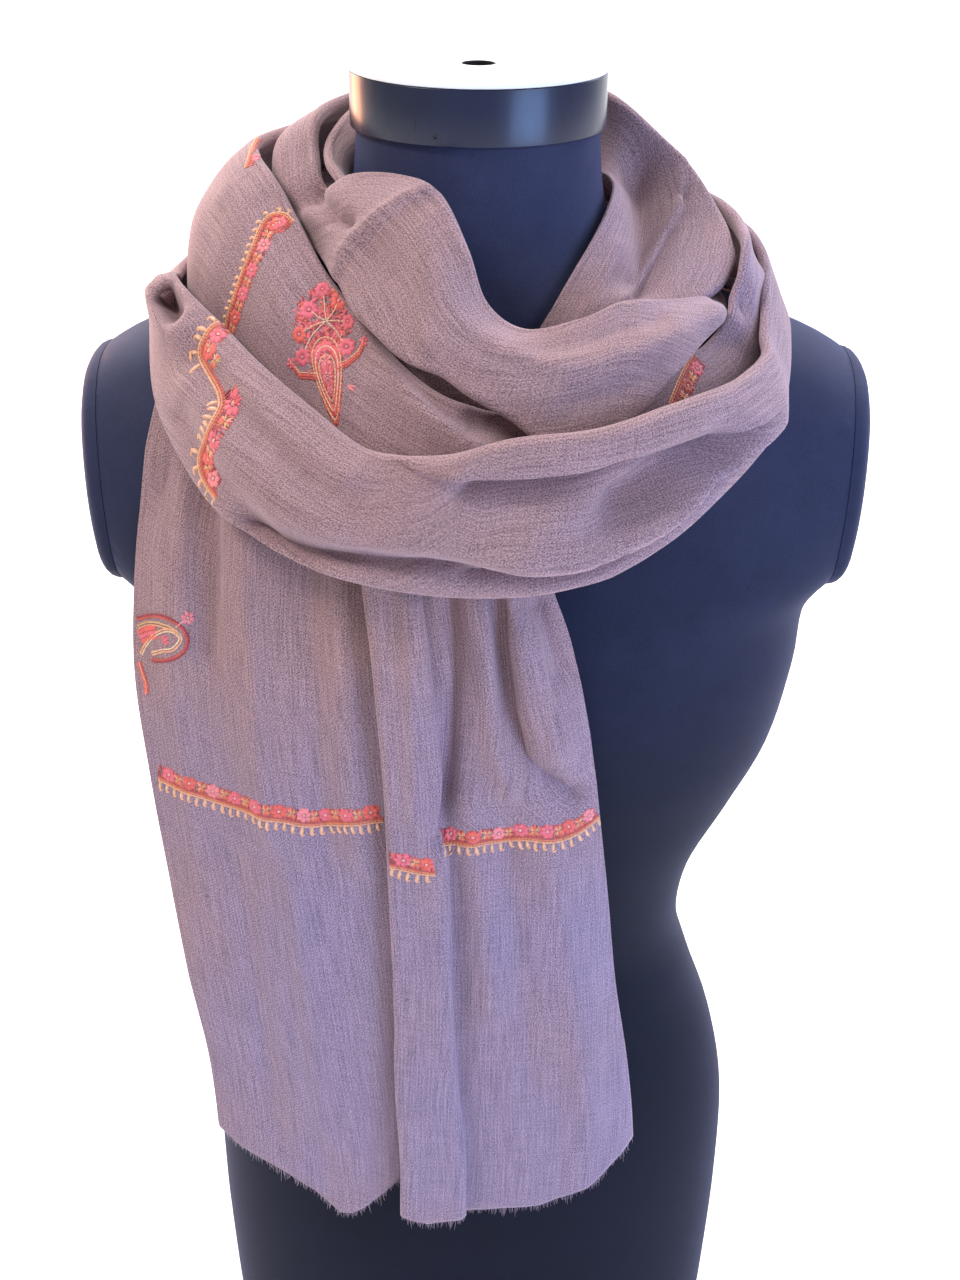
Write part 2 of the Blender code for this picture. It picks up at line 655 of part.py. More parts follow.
def lie_before(grid, surface, gap):
    """Moves the points of a tail forward until they are in front of a thick solid."""
    for row in grid:
        for place, point in enumerate(row):
            hit = surface.ray_cast(Vector((point.x, -1, point.z)), Vector((0, 1, 0)))[0]
            if hit is not None and point.y > hit.y - gap:
                row[place] = Vector((point.x, hit.y - gap, point.z))


def seat_on(grid, surface, gap):
    """Moves a tail back until it hangs just in front of the cloth behind it."""
    room = 1.0
    for row in grid:
        for point in row:
            hit = surface.ray_cast(point, Vector((0, 1, 0)))[0]
            if hit is not None:
                room = min(room, hit.y - point.y)
    for row in grid:
        row[:] = [point + Vector((0, room - gap, 0)) for point in row]


def lock_path(hem):
    """Points along a hem, one for each side of a lock, with the hem's own corners among them."""
    path = []
    for start, end in zip(hem, hem[1:]):
        locks = max(1, round((end - start).length / LOCK_PITCH))
        path += [start.lerp(end, lock / locks) for lock in range(locks)]
    return path + [hem[-1]]


def make_fringe(name, hem, finish):
    """A narrow strip under a hem, with a lock on every step along it."""
    shape = bmesh.new()
    path = lock_path(hem)
    steps = len(path) - 1
    rings = []
    for step, point in enumerate(path):
        run = path[min(step + 1, steps)] - path[max(step - 1, 0)]
        side = Vector((run.y, -run.x, 0)).normalized()
        down = run.cross(side).normalized()
        down *= math.copysign(1, -down.z)
        side *= FRINGE_WALL / 2
        high = point + down * FRINGE_GAP
        low = high + down * FRINGE_STRIP
        rings.append([shape.verts.new(place) for place in (high + side, high - side, low - side, low + side)])
    bridge_rings(shape, rings)
    shape.faces.new(rings[0])
    shape.faces.new(rings[-1])
    bmesh.ops.recalc_face_normals(shape, faces=shape.faces)
    for step in range(steps):
        here, there = rings[step], rings[step + 1]
        under = next(face for face in here[2].link_faces if {here[2], here[3], there[2], there[3]} == set(face.verts))
        tip = bmesh.ops.poke(shape, faces=[under])["verts"][0]
        length = LOCK_LENGTH * (1 + 0.35 * math.sin(2.4 * step) + 0.15 * math.sin(5.1 * step))
        tip.co += Vector((0.08 * math.sin(3.7 * step), 0.06 * math.sin(1.9 * step), -1)) * length
    return to_object(name, shape, finish)


# ---------------------------------------------------------------- the model

def make_shawl(torso):
    loops = material("shawl_loops", (0.30, 0.21, 0.22), 0.9)
    tails = material("shawl_tails", (0.33, 0.24, 0.29), 0.9)
    body = surface_of(torso)
    gap = CLOTH_WALL / 2 + CLOTH_CLEAR
    bands = [
        ("neck_collar", COLLAR, False, FACE_SHARES, ()),
        ("inner_loop", INNER_LOOP, True, FACE_SHARES, INNER_FOLDS),
        ("middle_loop", MIDDLE_LOOP, True, FACE_SHARES, ()),
        ("outer_loop", OUTER_LOOP, True, OUTER_SHARES, OUTER_FOLDS),
    ]
    within = []
    for name, table, closed, shares, folds in bands:
        grid = band_grid(table, closed, shares, folds)
        rest_on(grid, body, gap, closed)
        for other in within:
            stand_outside(grid, other, CLOTH_WALL / 2 + CLOTH_APART, FRONT_TURN)
        rest_on(grid, body, gap, closed)
        within.append(surface_of(make_cloth(name, grid, closed, loops)))
    behind = None
    for side, table, top, hem, folds, layout, hidden in (
            ("left", LEFT_TAIL, LEFT_TOP, LEFT_HEM, LEFT_TAIL_FOLDS, LEFT_LAYOUT, 0),
            ("right", RIGHT_TAIL, RIGHT_TOP, RIGHT_HEM, RIGHT_TAIL_FOLDS, RIGHT_LAYOUT, HIDDEN_COLUMNS)):
        grid = tail_grid(table, top, hem, folds, layout, LEVELS)
        tuck_inside(grid, within[-1], CLOTH_WALL / 2 + CLOTH_APART)
        lie_before(grid, body, gap + CLOTH_CLEAR)
        rest_on(grid, body, gap, False)
        if behind:
            seat_on(grid, behind, gap)
        behind = surface_of(make_cloth(side + "_tail", grid, False, tails))
        make_fringe(side + "_fringe", grid[-1][hidden:], tails)


def main():
    clear_scene()
    make_shawl(make_form())


main()
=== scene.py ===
# %% [markdown]
# # A pashmina shawl on a dress form
# A pashmina shawl is one long rectangle of soft goat's wool, with a narrow embroidered border near each raw end.
# Here it is wound in three loops round the neck of a limbless dress form, and its two ends hang down in front.
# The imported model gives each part's place, so it is loaded first and everything else is built round it.

# %% Load the frame
import math
import random
from collections import namedtuple

import bpy
import numpy as np
from mathutils import Matrix, Vector, noise
from mathutils.bvhtree import BVHTree


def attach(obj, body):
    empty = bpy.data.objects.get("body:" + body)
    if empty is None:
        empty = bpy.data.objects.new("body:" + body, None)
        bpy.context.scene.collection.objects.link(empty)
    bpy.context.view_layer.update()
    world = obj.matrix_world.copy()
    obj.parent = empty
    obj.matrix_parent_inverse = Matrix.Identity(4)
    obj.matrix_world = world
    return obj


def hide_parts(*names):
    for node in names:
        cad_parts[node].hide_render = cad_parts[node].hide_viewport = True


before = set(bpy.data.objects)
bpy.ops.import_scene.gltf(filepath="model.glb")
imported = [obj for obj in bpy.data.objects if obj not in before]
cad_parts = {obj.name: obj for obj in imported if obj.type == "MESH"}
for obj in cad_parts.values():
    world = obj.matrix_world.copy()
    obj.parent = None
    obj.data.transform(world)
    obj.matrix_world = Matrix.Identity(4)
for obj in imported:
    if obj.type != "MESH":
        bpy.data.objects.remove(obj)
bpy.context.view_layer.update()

MM = 0.001
print("nodes:", sorted(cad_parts))

# %% [markdown]
# ## Picking and editing
# Blender's tools work on whatever is picked. A script could trust that the last piece made is still picked, but that
# breaks when a step moves, so each step here picks its own piece first.

# %% Picking and editing
def deselect():
    bpy.ops.object.select_all(action="DESELECT")


def pick(piece):
    deselect()
    piece.select_set(True)
    bpy.context.view_layer.objects.active = piece


def edit(piece):
    pick(piece)
    bpy.ops.object.mode_set(mode="EDIT")
    bpy.ops.mesh.select_all(action="SELECT")


def done():
    bpy.ops.object.mode_set(mode="OBJECT")


def edit_only(piece, kind, chosen):
    """Opens a piece for editing with only the edges or faces that pass a test selected."""
    edit(piece)
    bpy.ops.mesh.select_mode(type=kind)
    bpy.ops.mesh.select_all(action="DESELECT")
    done()
    for part in piece.data.edges if kind == "EDGE" else piece.data.polygons:
        part.select = chosen(part)
    bpy.ops.object.mode_set(mode="EDIT")


def tidy_normals():
    bpy.ops.mesh.normals_make_consistent(inside=False)


print("picked now:", len(bpy.context.selected_objects))

# %% [markdown]
# ## Camera
# The camera stands a little above the neck and looks down on the front. It could be aimed by eye, but a matrix of its
# place, tilt and roll says the same thing exactly, and the script can then also ask which point of the cloth a line
# of sight meets.

# %% Camera
VIEW_WIDTH = 960
VIEW_HEIGHT = 1280
FOCAL_PIXELS = 2000
SENSOR = 36
CLIP_START = 0.01
CAMERA_PLACE = Vector((0.003, -0.95, 0.93))
CAMERA_DOWN = math.radians(25)
CAMERA_ROLL = math.radians(0.5)


def add_camera():
    deselect()
    bpy.ops.object.camera_add()
    camera = bpy.context.object
    camera.name = "camera"
    camera.data.sensor_fit = "VERTICAL"
    camera.data.sensor_height = SENSOR
    camera.data.lens = FOCAL_PIXELS * SENSOR / VIEW_HEIGHT
    camera.data.clip_start = CLIP_START
    tilt = Matrix.Rotation(math.pi / 2 - CAMERA_DOWN, 4, "X")
    camera.matrix_world = Matrix.Translation(CAMERA_PLACE) @ tilt @ Matrix.Rotation(CAMERA_ROLL, 4, "Z")
    bpy.context.scene.camera = camera
    return camera


camera = add_camera()
SIGHT = camera.matrix_world.to_3x3()


def sight_line(px, py):
    """The direction from the camera through a place in its view, in pixels."""
    aside = (px - VIEW_WIDTH / 2) / FOCAL_PIXELS
    up = (VIEW_HEIGHT / 2 - py) / FOCAL_PIXELS
    return (SIGHT @ Vector((aside, up, -1))).normalized()


print("lens", round(camera.data.lens, 2), "mm")

# %% [markdown]
# ## Light and backdrop
# Cloth shows its folds best in soft light from one side, with a weaker light from the other to open the shadows.
# Large area lights do that. The backdrop is a pale floor that curves up behind the form, as a paper roll does in a
# studio, so no line crosses the view.

# %% Light and backdrop
Lamp = namedtuple("Lamp", "name place target width height power colour")
LAMPS = [
    Lamp("key_light", (-1.30, -0.62, 2.30), (0, 0, 0.55), 0.6, 0.6, 34, (1.0, 0.92, 0.87)),
    Lamp("fill_light", (1.3, -1.2, 1.5), (0, 0, 0.62), 0.8, 0.9, 14, (0.68, 0.79, 1.0)),
    Lamp("rim_light", (-1.3, 1.5, 1.7), (0, 0, 0.6), 0.8, 1.4, 34, (1.0, 0.90, 0.86)),
    Lamp("band_light", (0.95, -0.95, 0.55), (0, 0, 0.75), 0.75, 0.7, 11, (0.30, 0.50, 1.0)),
    Lamp("warm_light", (-0.95, 1.0, 0.55), (0, 0, 0.7), 0.5, 0.6, 8, (1.0, 0.42, 0.2)),
    Lamp("edge_light", (1.4, 1.1, 1.75), (0.05, 0, 0.6), 0.5, 1.0, 26, (0.92, 0.92, 1.0)),
    Lamp("backdrop_light", (0, 1.3, 3.2), (0, 3.2, 0.5), 4.0, 1.2, 120, (1.0, 1.0, 1.0)),
]
SKY_COLOUR = (0.95, 0.97, 1.0, 1.0)
SKY_STRENGTH = 0.42
BACKDROP_HALF = 6.0
BACKDROP_FRONT = -5.0
BACKDROP_BACK = 3.4
BACKDROP_HEIGHT = 4.0
BACKDROP_ROUND = 1.2
BACKDROP_STEPS = 12
FLOOR_DROP = 0.0004


def add_light(lamp):
    deselect()
    bpy.ops.object.light_add(type="AREA")
    light = bpy.context.object
    light.name = lamp.name
    light.data.shape = "RECTANGLE"
    light.data.size = lamp.width
    light.data.size_y = lamp.height
    light.data.energy = lamp.power
    light.data.color = lamp.colour
    light.location = lamp.place
    light.rotation_euler = (Vector(lamp.target) - Vector(lamp.place)).to_track_quat("-Z", "Y").to_euler()


def add_sky():
    world = bpy.data.worlds.new("studio_air")
    world.use_nodes = True
    air = world.node_tree.nodes["Background"].inputs
    air["Color"].default_value = SKY_COLOUR
    air["Strength"].default_value = SKY_STRENGTH
    bpy.context.scene.world = world
    bpy.context.scene.view_settings.view_transform = "Standard"


def add_backdrop():
    """A floor whose back edge is extruded upwards and rounded at the foot."""
    deselect()
    bpy.ops.mesh.primitive_plane_add(size=2, location=(0, 0, 0))
    sweep = bpy.context.object
    sweep.name = "backdrop"
    for corner in sweep.data.vertices:
        corner.co.x *= BACKDROP_HALF
        corner.co.y = BACKDROP_BACK if corner.co.y > 0 else BACKDROP_FRONT
        corner.co.z = -FLOOR_DROP

    def at_the_back(edge):
        ends = [sweep.data.vertices[index].co for index in edge.vertices]
        return all(end.y > 0 and end.z < BACKDROP_HEIGHT / 2 for end in ends)

    edit_only(sweep, "EDGE", at_the_back)
    bpy.ops.mesh.extrude_region_move(TRANSFORM_OT_translate={"value": (0, 0, BACKDROP_HEIGHT)})
    done()
    edit_only(sweep, "EDGE", at_the_back)
    bpy.ops.mesh.bevel(offset=BACKDROP_ROUND, segments=BACKDROP_STEPS)
    done()
    bpy.ops.object.shade_smooth()
    return sweep


for lamp in LAMPS:
    add_light(lamp)
add_sky()
floor = add_backdrop()
print("lights:", [lamp.name for lamp in LAMPS])

# %% [markdown]
# ## Reckoning with sockets
# A material's pattern is arithmetic on its sockets. One node for each sum soon hides the idea, so a small class wraps
# a socket and lets Python's own signs add the Math nodes. Every other node comes from one method.

# %% Sockets that can be reckoned with
# A node's output is picked by its number. So are the sockets of a Mix node, because several of them share a name.
OBJECT_PLACE = 3
MIX_SHARE, MIX_FIRST, MIX_SECOND, MIX_RESULT = 0, 6, 7, 2


class Value:
    """A socket with Python's arithmetic on it."""

    def __init__(self, finish, socket):
        self.finish = finish
        self.socket = socket

    def of(self, name):
        return Value(self.finish, self.socket.node.outputs[name])

    def math(self, operation, first, second=0.0):
        return self.finish.node("ShaderNodeMath", {"operation": operation}, {0: first, 1: second})

    def __add__(self, other):
        return self.math("ADD", self, other)

    def __sub__(self, other):
        return self.math("SUBTRACT", self, other)

    def __mul__(self, other):
        return self.math("MULTIPLY", self, other)

    def __truediv__(self, other):
        return self.math("DIVIDE", self, other)

    def sine(self):
        return self.math("SINE", self)

    def clamp(self):
        return self.math("MAXIMUM", self.math("MINIMUM", self, 1.0), 0.0)

    __radd__ = __add__


class Finish:
    """A material and its nodes. Its place is the Object coordinates."""

    def __init__(self, name, **constants):
        self.material = bpy.data.materials.new(name)
        self.material.use_nodes = True
        self.tree = self.material.node_tree
        self.shader = self.tree.nodes["Principled BSDF"]
        self.place = self.node("ShaderNodeTexCoord", output=OBJECT_PLACE)
        for socket, value in constants.items():
            self.shader.inputs[socket.replace("_", " ").title().replace("Ior", "IOR")].default_value = value

    def put(self, socket, value):
        if isinstance(value, Value):
            self.tree.links.new(value.socket, socket)
        else:
            socket.default_value = value

    def node(self, kind, settings=None, sockets=None, output=0):
        made = self.tree.nodes.new(kind)
        for name, value in (settings or {}).items():
            setattr(made, name, value)
        for name, value in (sockets or {}).items():
            self.put(made.inputs[name], value)
        return Value(self, made.outputs[output])

    def feed(self, socket, value):
        self.put(self.shader.inputs[socket], value)

    def mix(self, share, first, second, blend="MIX"):
        """A colour between two colours, or their product."""
        settings = {"data_type": "RGBA", "blend_type": blend}
        sockets = {MIX_SHARE: share, MIX_FIRST: first, MIX_SECOND: second}
        return self.node("ShaderNodeMix", settings, sockets, output=MIX_RESULT)

    def parts(self, vector):
        return self.node("ShaderNodeSeparateXYZ", {}, {"Vector": vector})

    def stretched(self, vector, scale):
        return self.node("ShaderNodeMapping", {}, {"Vector": vector, "Scale": scale})

    def noise(self, vector, scale=1.0, detail=2.0):
        return self.node("ShaderNodeTexNoise", {}, {"Vector": vector, "Scale": scale, "Detail": detail})

    def bump(self, height, strength, distance):
        sockets = {"Height": height, "Strength": strength, "Distance": distance}
        self.feed("Normal", self.node("ShaderNodeBump", {}, sockets))


def shade(red, green, blue):
    """A colour as a screen shows it, 0 to 255, turned into the linear numbers that a shader takes."""
    return (*[((part / 255 + 0.055) / 1.055) ** 2.4 for part in (red, green, blue)], 1.0)


print("a middle grey is", round(shade(128, 128, 128)[0], 3))

# %% [markdown]
# ## Cloth finish
# The shawl is a fine twill whose threads are a paler and a darker grey, which gives the heathered look. Its grey is
# painted pinker high up and to the left, and bluer low down and to the right, as painted warm and cool light, with
# random clouds of tone between. Threads along the shawl are a little uneven, so faint streaks run down it, and weaker
# ones run across. A picture of cloth could be used, but noise that is stretched along the piece's own map follows
# every fold and never repeats.

# %% Cloth finish
WARP_SCALE = (34.0, 1150.0, 1.0)
WEFT_SCALE = (950.0, 60.0, 1.0)
TWILL_PITCH = 0.0015
SPECKLE_SCALE = 1500.0
CLOUD_SCALE = 10.0
# Painted light: the grey is painted warm above one height and cool below another, and cooler to the right.
COOL_LIGHT_BELOW = 0.36
WARM_LIGHT_ABOVE = 0.60
# How much each kind of unevenness shows in the colour, and how much in the bump.
WARP_SHOWS, WEFT_SHOWS, SPECKLE_SHOWS, RIBS_SHOW = 1.05, 0.45, 2.3, 0.07
WARP_STANDS, WEFT_STANDS, SPECKLE_STANDS, RIBS_STAND = 0.25, 0.15, 0.4, 0.07
CLOUD_SHOWS = 1.7
COOL_LIGHT_ASIDE = 1.8
# Painted light: a cool-lit and a warm-lit copy of one heathered grey.
COOL_LIT_TONES = shade(90, 77, 98), shade(169, 148, 169)
WARM_LIT_TONES = shade(98, 76, 82), shade(182, 149, 151)


def make_cloth_finish():
    cloth = Finish("shawl_cloth", roughness=0.92, sheen_weight=0.30, sheen_roughness=0.45,
                   sheen_tint=shade(250, 232, 236), specular_ior_level=0.25)
    weave = cloth.node("ShaderNodeUVMap", {"uv_map": "weave"})
    warp = cloth.noise(cloth.stretched(weave, WARP_SCALE), detail=3.0)
    weft = cloth.noise(cloth.stretched(weave, WEFT_SCALE))
    speckle = cloth.noise(weave, scale=SPECKLE_SCALE, detail=1.0)
    parts = cloth.parts(weave)
    ribs = ((parts.of("X") + parts.of("Y")) * (2 * math.pi / TWILL_PITCH)).sine()
    heather = 0.5 + (warp - 0.5) * WARP_SHOWS + (weft - 0.5) * WEFT_SHOWS
    heather = (heather + (speckle - 0.5) * SPECKLE_SHOWS + ribs * RIBS_SHOW).clamp()
    spot = cloth.parts(cloth.place)
    # Painted light: warmer high up and to the left, cooler low down and to the right, with random clouds of tone
    # between.
    painted_warm_light = ((spot.of("Z") - COOL_LIGHT_BELOW) / (WARM_LIGHT_ABOVE - COOL_LIGHT_BELOW)).clamp()
    cloud = cloth.noise(cloth.place, scale=CLOUD_SCALE, detail=1.0)
    painted_light_and_tone = (painted_warm_light + (cloud - 0.5) * CLOUD_SHOWS - spot.of("X") * COOL_LIGHT_ASIDE).clamp()
    cloth.feed("Base Color", cloth.mix(painted_light_and_tone, cloth.mix(heather, *COOL_LIT_TONES), cloth.mix(heather, *WARM_LIT_TONES)))
    stands = warp * WARP_STANDS + weft * WEFT_STANDS + ribs * RIBS_STAND + speckle * SPECKLE_STANDS
    cloth.bump(stands, strength=0.4, distance=0.00013)
    return cloth.material


cloth_finish = make_cloth_finish()
print("twill ribs every", TWILL_PITCH / MM, "mm")

# %% [markdown]
# ## Finishes of the dress form
# The form is covered in a matt, nearly black navy jersey. Its neck ends in a glossy black plastic band with a white
# disc on top. The jersey gets a fine nap in noise, the plastic a soft ripple and a few paler scuffs. Each could have
# its own pattern, but the plainer ones are one recipe: two near tones in a grain that also dents the surface.

# %% Finishes of the dress form
# Painted light: the jersey is painted in shade below one height and paler above another, where light falls on the
# neck and shoulders.
JERSEY_SHADED_BELOW = 0.42
JERSEY_LIT_ABOVE = 0.68
SHADED_JERSEY_TONES = shade(2, 5, 16), shade(7, 14, 34)
LIT_JERSEY_TONES = shade(31, 35, 52), shade(57, 61, 91)
KNIT_SCALE = 1400.0
LINT_SCALE = 60.0
KNIT_SHOWS = 0.7
LINT_SHOWS = 0.5
SCUFF_SCALE = (260.0, 260.0, 30.0)
SCUFF_ROUGH = 0.16
GLOSS_ROUGH = 0.30


def make_jersey():
    jersey = Finish("form_jersey", roughness=0.70, sheen_weight=0.12, sheen_roughness=0.45,
                    sheen_tint=shade(120, 135, 220), specular_ior_level=0.16)
    knit = jersey.noise(jersey.place, KNIT_SCALE)
    lint = jersey.noise(jersey.place, LINT_SCALE, detail=3.0)
    # Painted shade low down, and painted light on the neck and shoulders.
    painted_light_by_height = ((jersey.parts(jersey.place).of("Z") - JERSEY_SHADED_BELOW) / (JERSEY_LIT_ABOVE - JERSEY_SHADED_BELOW)).clamp()
    nap = (knit * KNIT_SHOWS + lint * LINT_SHOWS).clamp()
    dark, pale = jersey.mix(nap, *SHADED_JERSEY_TONES), jersey.mix(nap, *LIT_JERSEY_TONES)
    jersey.feed("Base Color", jersey.mix(painted_light_by_height, dark, pale))
    jersey.bump(knit, strength=0.4, distance=0.0002)
    return jersey.material


def grained(name, scale, dark, pale, dent=None, rough=None, detail=2.0, **constants):
    """A finish of two near tones in a grain of noise, which can also dent and roughen it."""
    made = Finish(name, **constants)
    grain = made.noise(made.place, scale, detail)
    made.feed("Base Color", made.mix(grain, shade(*dark), shade(*pale)))
    if dent:
        made.bump(grain, *dent)
    if rough:
        made.feed("Roughness", rough[0] + grain * rough[1])
    return made


jersey_finish = make_jersey()
gloss = grained("band_gloss", 24.0, (15, 20, 40), (24, 33, 64), dent=(0.10, 0.001),
                coat_weight=0.4, coat_roughness=0.22, specular_ior_level=0.4)
scuff = gloss.noise(gloss.stretched(gloss.place, SCUFF_SCALE))
gloss.feed("Roughness", GLOSS_ROUGH + (scuff - 0.5) * SCUFF_ROUGH)
white = grained("cap_white", 90.0, (226, 226, 224), (246, 246, 244), dent=(0.05, 0.0005), rough=(0.42, 0.15),
                detail=3.0)
black = grained("pin_black", 900.0, (3, 3, 5), (12, 12, 16), dent=(0.1, 0.0002), roughness=0.6)
paper = grained("floor_paper", 3.0, (250, 250, 250), (253, 253, 253), roughness=0.9)
floor.data.materials.append(paper.material)
print("finishes:", [made.name for made in bpy.data.materials])

# %% [markdown]
# ## Rolled grids
# Cloth, and the skin of the form, are curved sheets. A sheet could be drawn face by face, but a grid primitive has
# rows and columns already, so each of its points is simply moved to where that row and column lie on the real thing.
# Its map keeps the two lengths, along and across, that the weave follows.

# %% Rolled grids
SAME_PLACE = 1e-6


def apply_modifier(piece, name, kind, **settings):
    pick(piece)
    modifier = piece.modifiers.new(name, kind)
    for setting, value in settings.items():
        setattr(modifier, setting, value)
    bpy.ops.object.modifier_apply(modifier=name)


def rolled_grid(name, points, closed=False, ruler=None):
    """A grid primitive with its points moved to points[row, column]. A closed one joins its last row to its first."""
    if closed:
        points = np.concatenate([points, points[:1]])
    rows, columns = points.shape[:2]
    deselect()
    bpy.ops.mesh.primitive_grid_add(x_subdivisions=columns - 1, y_subdivisions=rows - 1, size=1)
    piece = bpy.context.object
    piece.name = name
    mesh = piece.data
    mesh.name = name
    flat = np.empty(len(mesh.vertices) * 3)
    mesh.vertices.foreach_get("co", flat)
    flat = flat.reshape(-1, 3)
    column = np.rint((flat[:, 0] + 0.5) * (columns - 1)).astype(int)
    row = np.rint((flat[:, 1] + 0.5) * (rows - 1)).astype(int)
    mesh.vertices.foreach_set("co", points[row, column].ravel())
    if ruler is not None:
        corners = np.empty(len(mesh.loops), int)
        mesh.loops.foreach_get("vertex_index", corners)
        mesh.uv_layers[0].name = "weave"
        mesh.uv_layers["weave"].data.foreach_set("uv", ruler[row[corners], column[corners]].ravel())
    mesh.update()
    if closed:
        edit(piece)
        bpy.ops.mesh.remove_doubles(threshold=SAME_PLACE)
        done()
    return piece


def smooth(piece, crisp=None):
    """Shades a piece smooth, apart from the edges that turn by more than a number of degrees."""
    pick(piece)
    if crisp is None:
        bpy.ops.object.shade_smooth()
    else:
        bpy.ops.object.shade_smooth_by_angle(angle=math.radians(crisp))


def finish_piece(piece, finish, slot, *nodes):
    """Gives a piece its finish and its body, and hides the solids that it stands for."""
    piece.data.materials.clear()
    piece.data.materials.append(finish)
    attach(piece, "root")
    if nodes:
        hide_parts(*nodes)
    return piece


def along_curve(rows, places, closed=False):
    """The columns of a table at places between its rows, on a smooth curve through them."""
    rows = np.asarray(rows, float)
    count = len(rows)
    first = np.floor(places).astype(int)
    share = (places - first)[:, None]
    wrap = (lambda index: index % count) if closed else (lambda index: np.clip(index, 0, count - 1))
    a, b, c, d = (rows[wrap(first + step)] for step in (-1, 0, 1, 2))
    bend = 2 * a - 5 * b + 4 * c - d
    twist = 3 * b - a - 3 * c + d
    return 0.5 * (2 * b + share * (c - a + share * (bend + share * twist)))


def run_along(points, axis=0):
    """How far along an axis of a grid, or along a line, each of its points lies."""
    return np.insert(np.linalg.norm(np.diff(points, axis=axis), axis=-1).cumsum(axis=axis), 0, 0.0, axis=axis)


def unit(rows):
    return rows / np.linalg.norm(rows, axis=-1, keepdims=True)


def skin_of(piece):
    return BVHTree.FromObject(piece, bpy.context.evaluated_depsgraph_get())


def table(kind, *rows):
    return [kind(*row) for row in rows]


half_way = along_curve([[0], [1], [4], [9]], np.array([1.5]))
print("half-way on a curve through 0, 1, 4 and 9:", half_way.item())

# %% [markdown]
# ## The dress form
# A limbless form is a torso with a neck, cut flat at the armholes and closed there by a domed plate. Each height is a
# squared oval with its own reach to the front and the back. A cylinder could be pushed and pulled into it, but one
# table of ovals keeps the outline smooth from hip to neck.

# %% The dress form's table
# One row for each height of the torso: half its width, its front and back reach, and how square it is.
TorsoRing = namedtuple("TorsoRing", "height half_width front back square")
TORSO = table(
    TorsoRing,
    (0, 132, 92, 98, 2.2), (50, 137, 96, 104, 2.2), (100, 141, 99, 111, 2.2), (155, 144, 101, 117, 2.2),
    (212, 144, 101, 120, 2.2), (255, 136, 98, 112, 2.2), (295, 122, 92, 96, 2.2), (330, 113, 87, 87, 2.2),
    (370, 119, 91, 87, 2.25), (411, 139, 100, 93, 2.3), (449, 156, 111, 98, 2.35), (491, 165, 116, 101, 2.4),
    (528, 170, 112, 102, 2.5), (555, 195, 102, 101, 2.6), (590, 210, 90, 98, 2.6), (622, 204, 79, 93, 2.5),
    (646, 179, 70, 85, 2.35), (662, 145, 65, 77, 2.2), (678, 105, 62, 69, 2.1), (694, 78, 60, 63, 2.0),
    (714, 62, 58, 59, 2.0), (746, 57.5, 57.5, 57.5, 2.0), (778.5, 57.5, 57.5, 57.5, 2.0),
)
print("the torso is", max(ring.half_width for ring in TORSO) * 2, "mm across before the armholes are cut")

# %% [markdown]
# ## The torso
# The ovals are swept into one closed skin. The arms could be left as short stumps, but a shop's form has none, so a
# slanting plane cuts the skin flat at each armhole, and the outline of the cut is kept for the plate.

# %% The torso
ARMHOLE_REACH = 0.178
ARMHOLE_HEIGHT = 0.600
ARMHOLE_FOOT = 0.490
ARMHOLE_TILT = math.radians(5.3)
TORSO_SIDES = 128
RINGS_PER_ROW = 5


def torso_points():
    places = np.linspace(0, len(TORSO) - 1, (len(TORSO) - 1) * RINGS_PER_ROW + 1)
    angle = np.arange(TORSO_SIDES) * 2 * math.pi / TORSO_SIDES
    c, s = np.cos(angle), np.sin(angle)
    rings = []
    for height, half_width, front, back, square in along_curve(TORSO, places):
        depth = np.where(s > 0, back, front)
        x = half_width * np.sign(c) * np.abs(c) ** (2 / square)
        y = depth * np.sign(s) * np.abs(s) ** (2 / square)
        rings.append(np.stack([x, y, np.full_like(x, height)], axis=1) * MM)
    return np.array(rings).transpose(1, 0, 2)


def armhole_plane(side):
    centre = Vector((side * ARMHOLE_REACH, 0, ARMHOLE_HEIGHT))
    return centre, Vector((side * math.cos(ARMHOLE_TILT), 0, -math.sin(ARMHOLE_TILT)))


def cut_armhole(piece, side):
    """Cuts the torso flat at an armhole, closes the cut, and returns its outline."""
    centre, facing = armhole_plane(side)
    edit_only(piece, "FACE", lambda face: face.center.z > ARMHOLE_FOOT and face.center.x * side > 0)
    bpy.ops.mesh.bisect(plane_co=centre, plane_no=facing, clear_outer=True)
    bpy.ops.mesh.select_all(action="SELECT")
    bpy.ops.mesh.fill_holes(sides=0)
    done()
    beyond = [face for face in piece.data.polygons if face.center.x * side > ARMHOLE_REACH / 2]
    flat = max(beyond, key=lambda face: len(face.vertices))
    return [piece.data.vertices[index].co.copy() for index in flat.vertices]


def closed_skin(name, points):
    """A closed grid whose two open ends are filled."""
    piece = rolled_grid(name, points, closed=True)
    edit(piece)
    bpy.ops.mesh.fill_holes(sides=0)
    tidy_normals()
    done()
    return piece


torso = closed_skin("dress_form_torso", torso_points())
armholes = {side: cut_armhole(torso, side) for side in (-1, 1)}
smooth(torso)
finish_piece(torso, jersey_finish, "jersey", "form_torso")
form_skin = skin_of(torso)
print("torso", len(torso.data.polygons), "faces; armhole corners", [len(outline) for outline in armholes.values()])

# %% [markdown]
# ## Arm plates
# Each armhole is closed by a plate that domes out a little, with its edge turned over and a seam between it and the
# torso. The armhole's own outline is drawn in, ring by ring, and lifted at each step.

# %% Arm plates
PLATE_DOME = 0.012
PLATE_CRISP = 50
SEAM_GAP = 0.0003
# Each ring of a plate: its share of the armhole's size, and of the dome's height.
PLATE_RINGS = [(1.0, 0.0), (0.995, 0.2), (0.98, 0.37), (0.95, 0.53), (0.90, 0.67), (0.80, 0.82), (0.64, 0.92),
               (0.44, 0.97), (0.22, 0.995), (0.05, 1.0)]


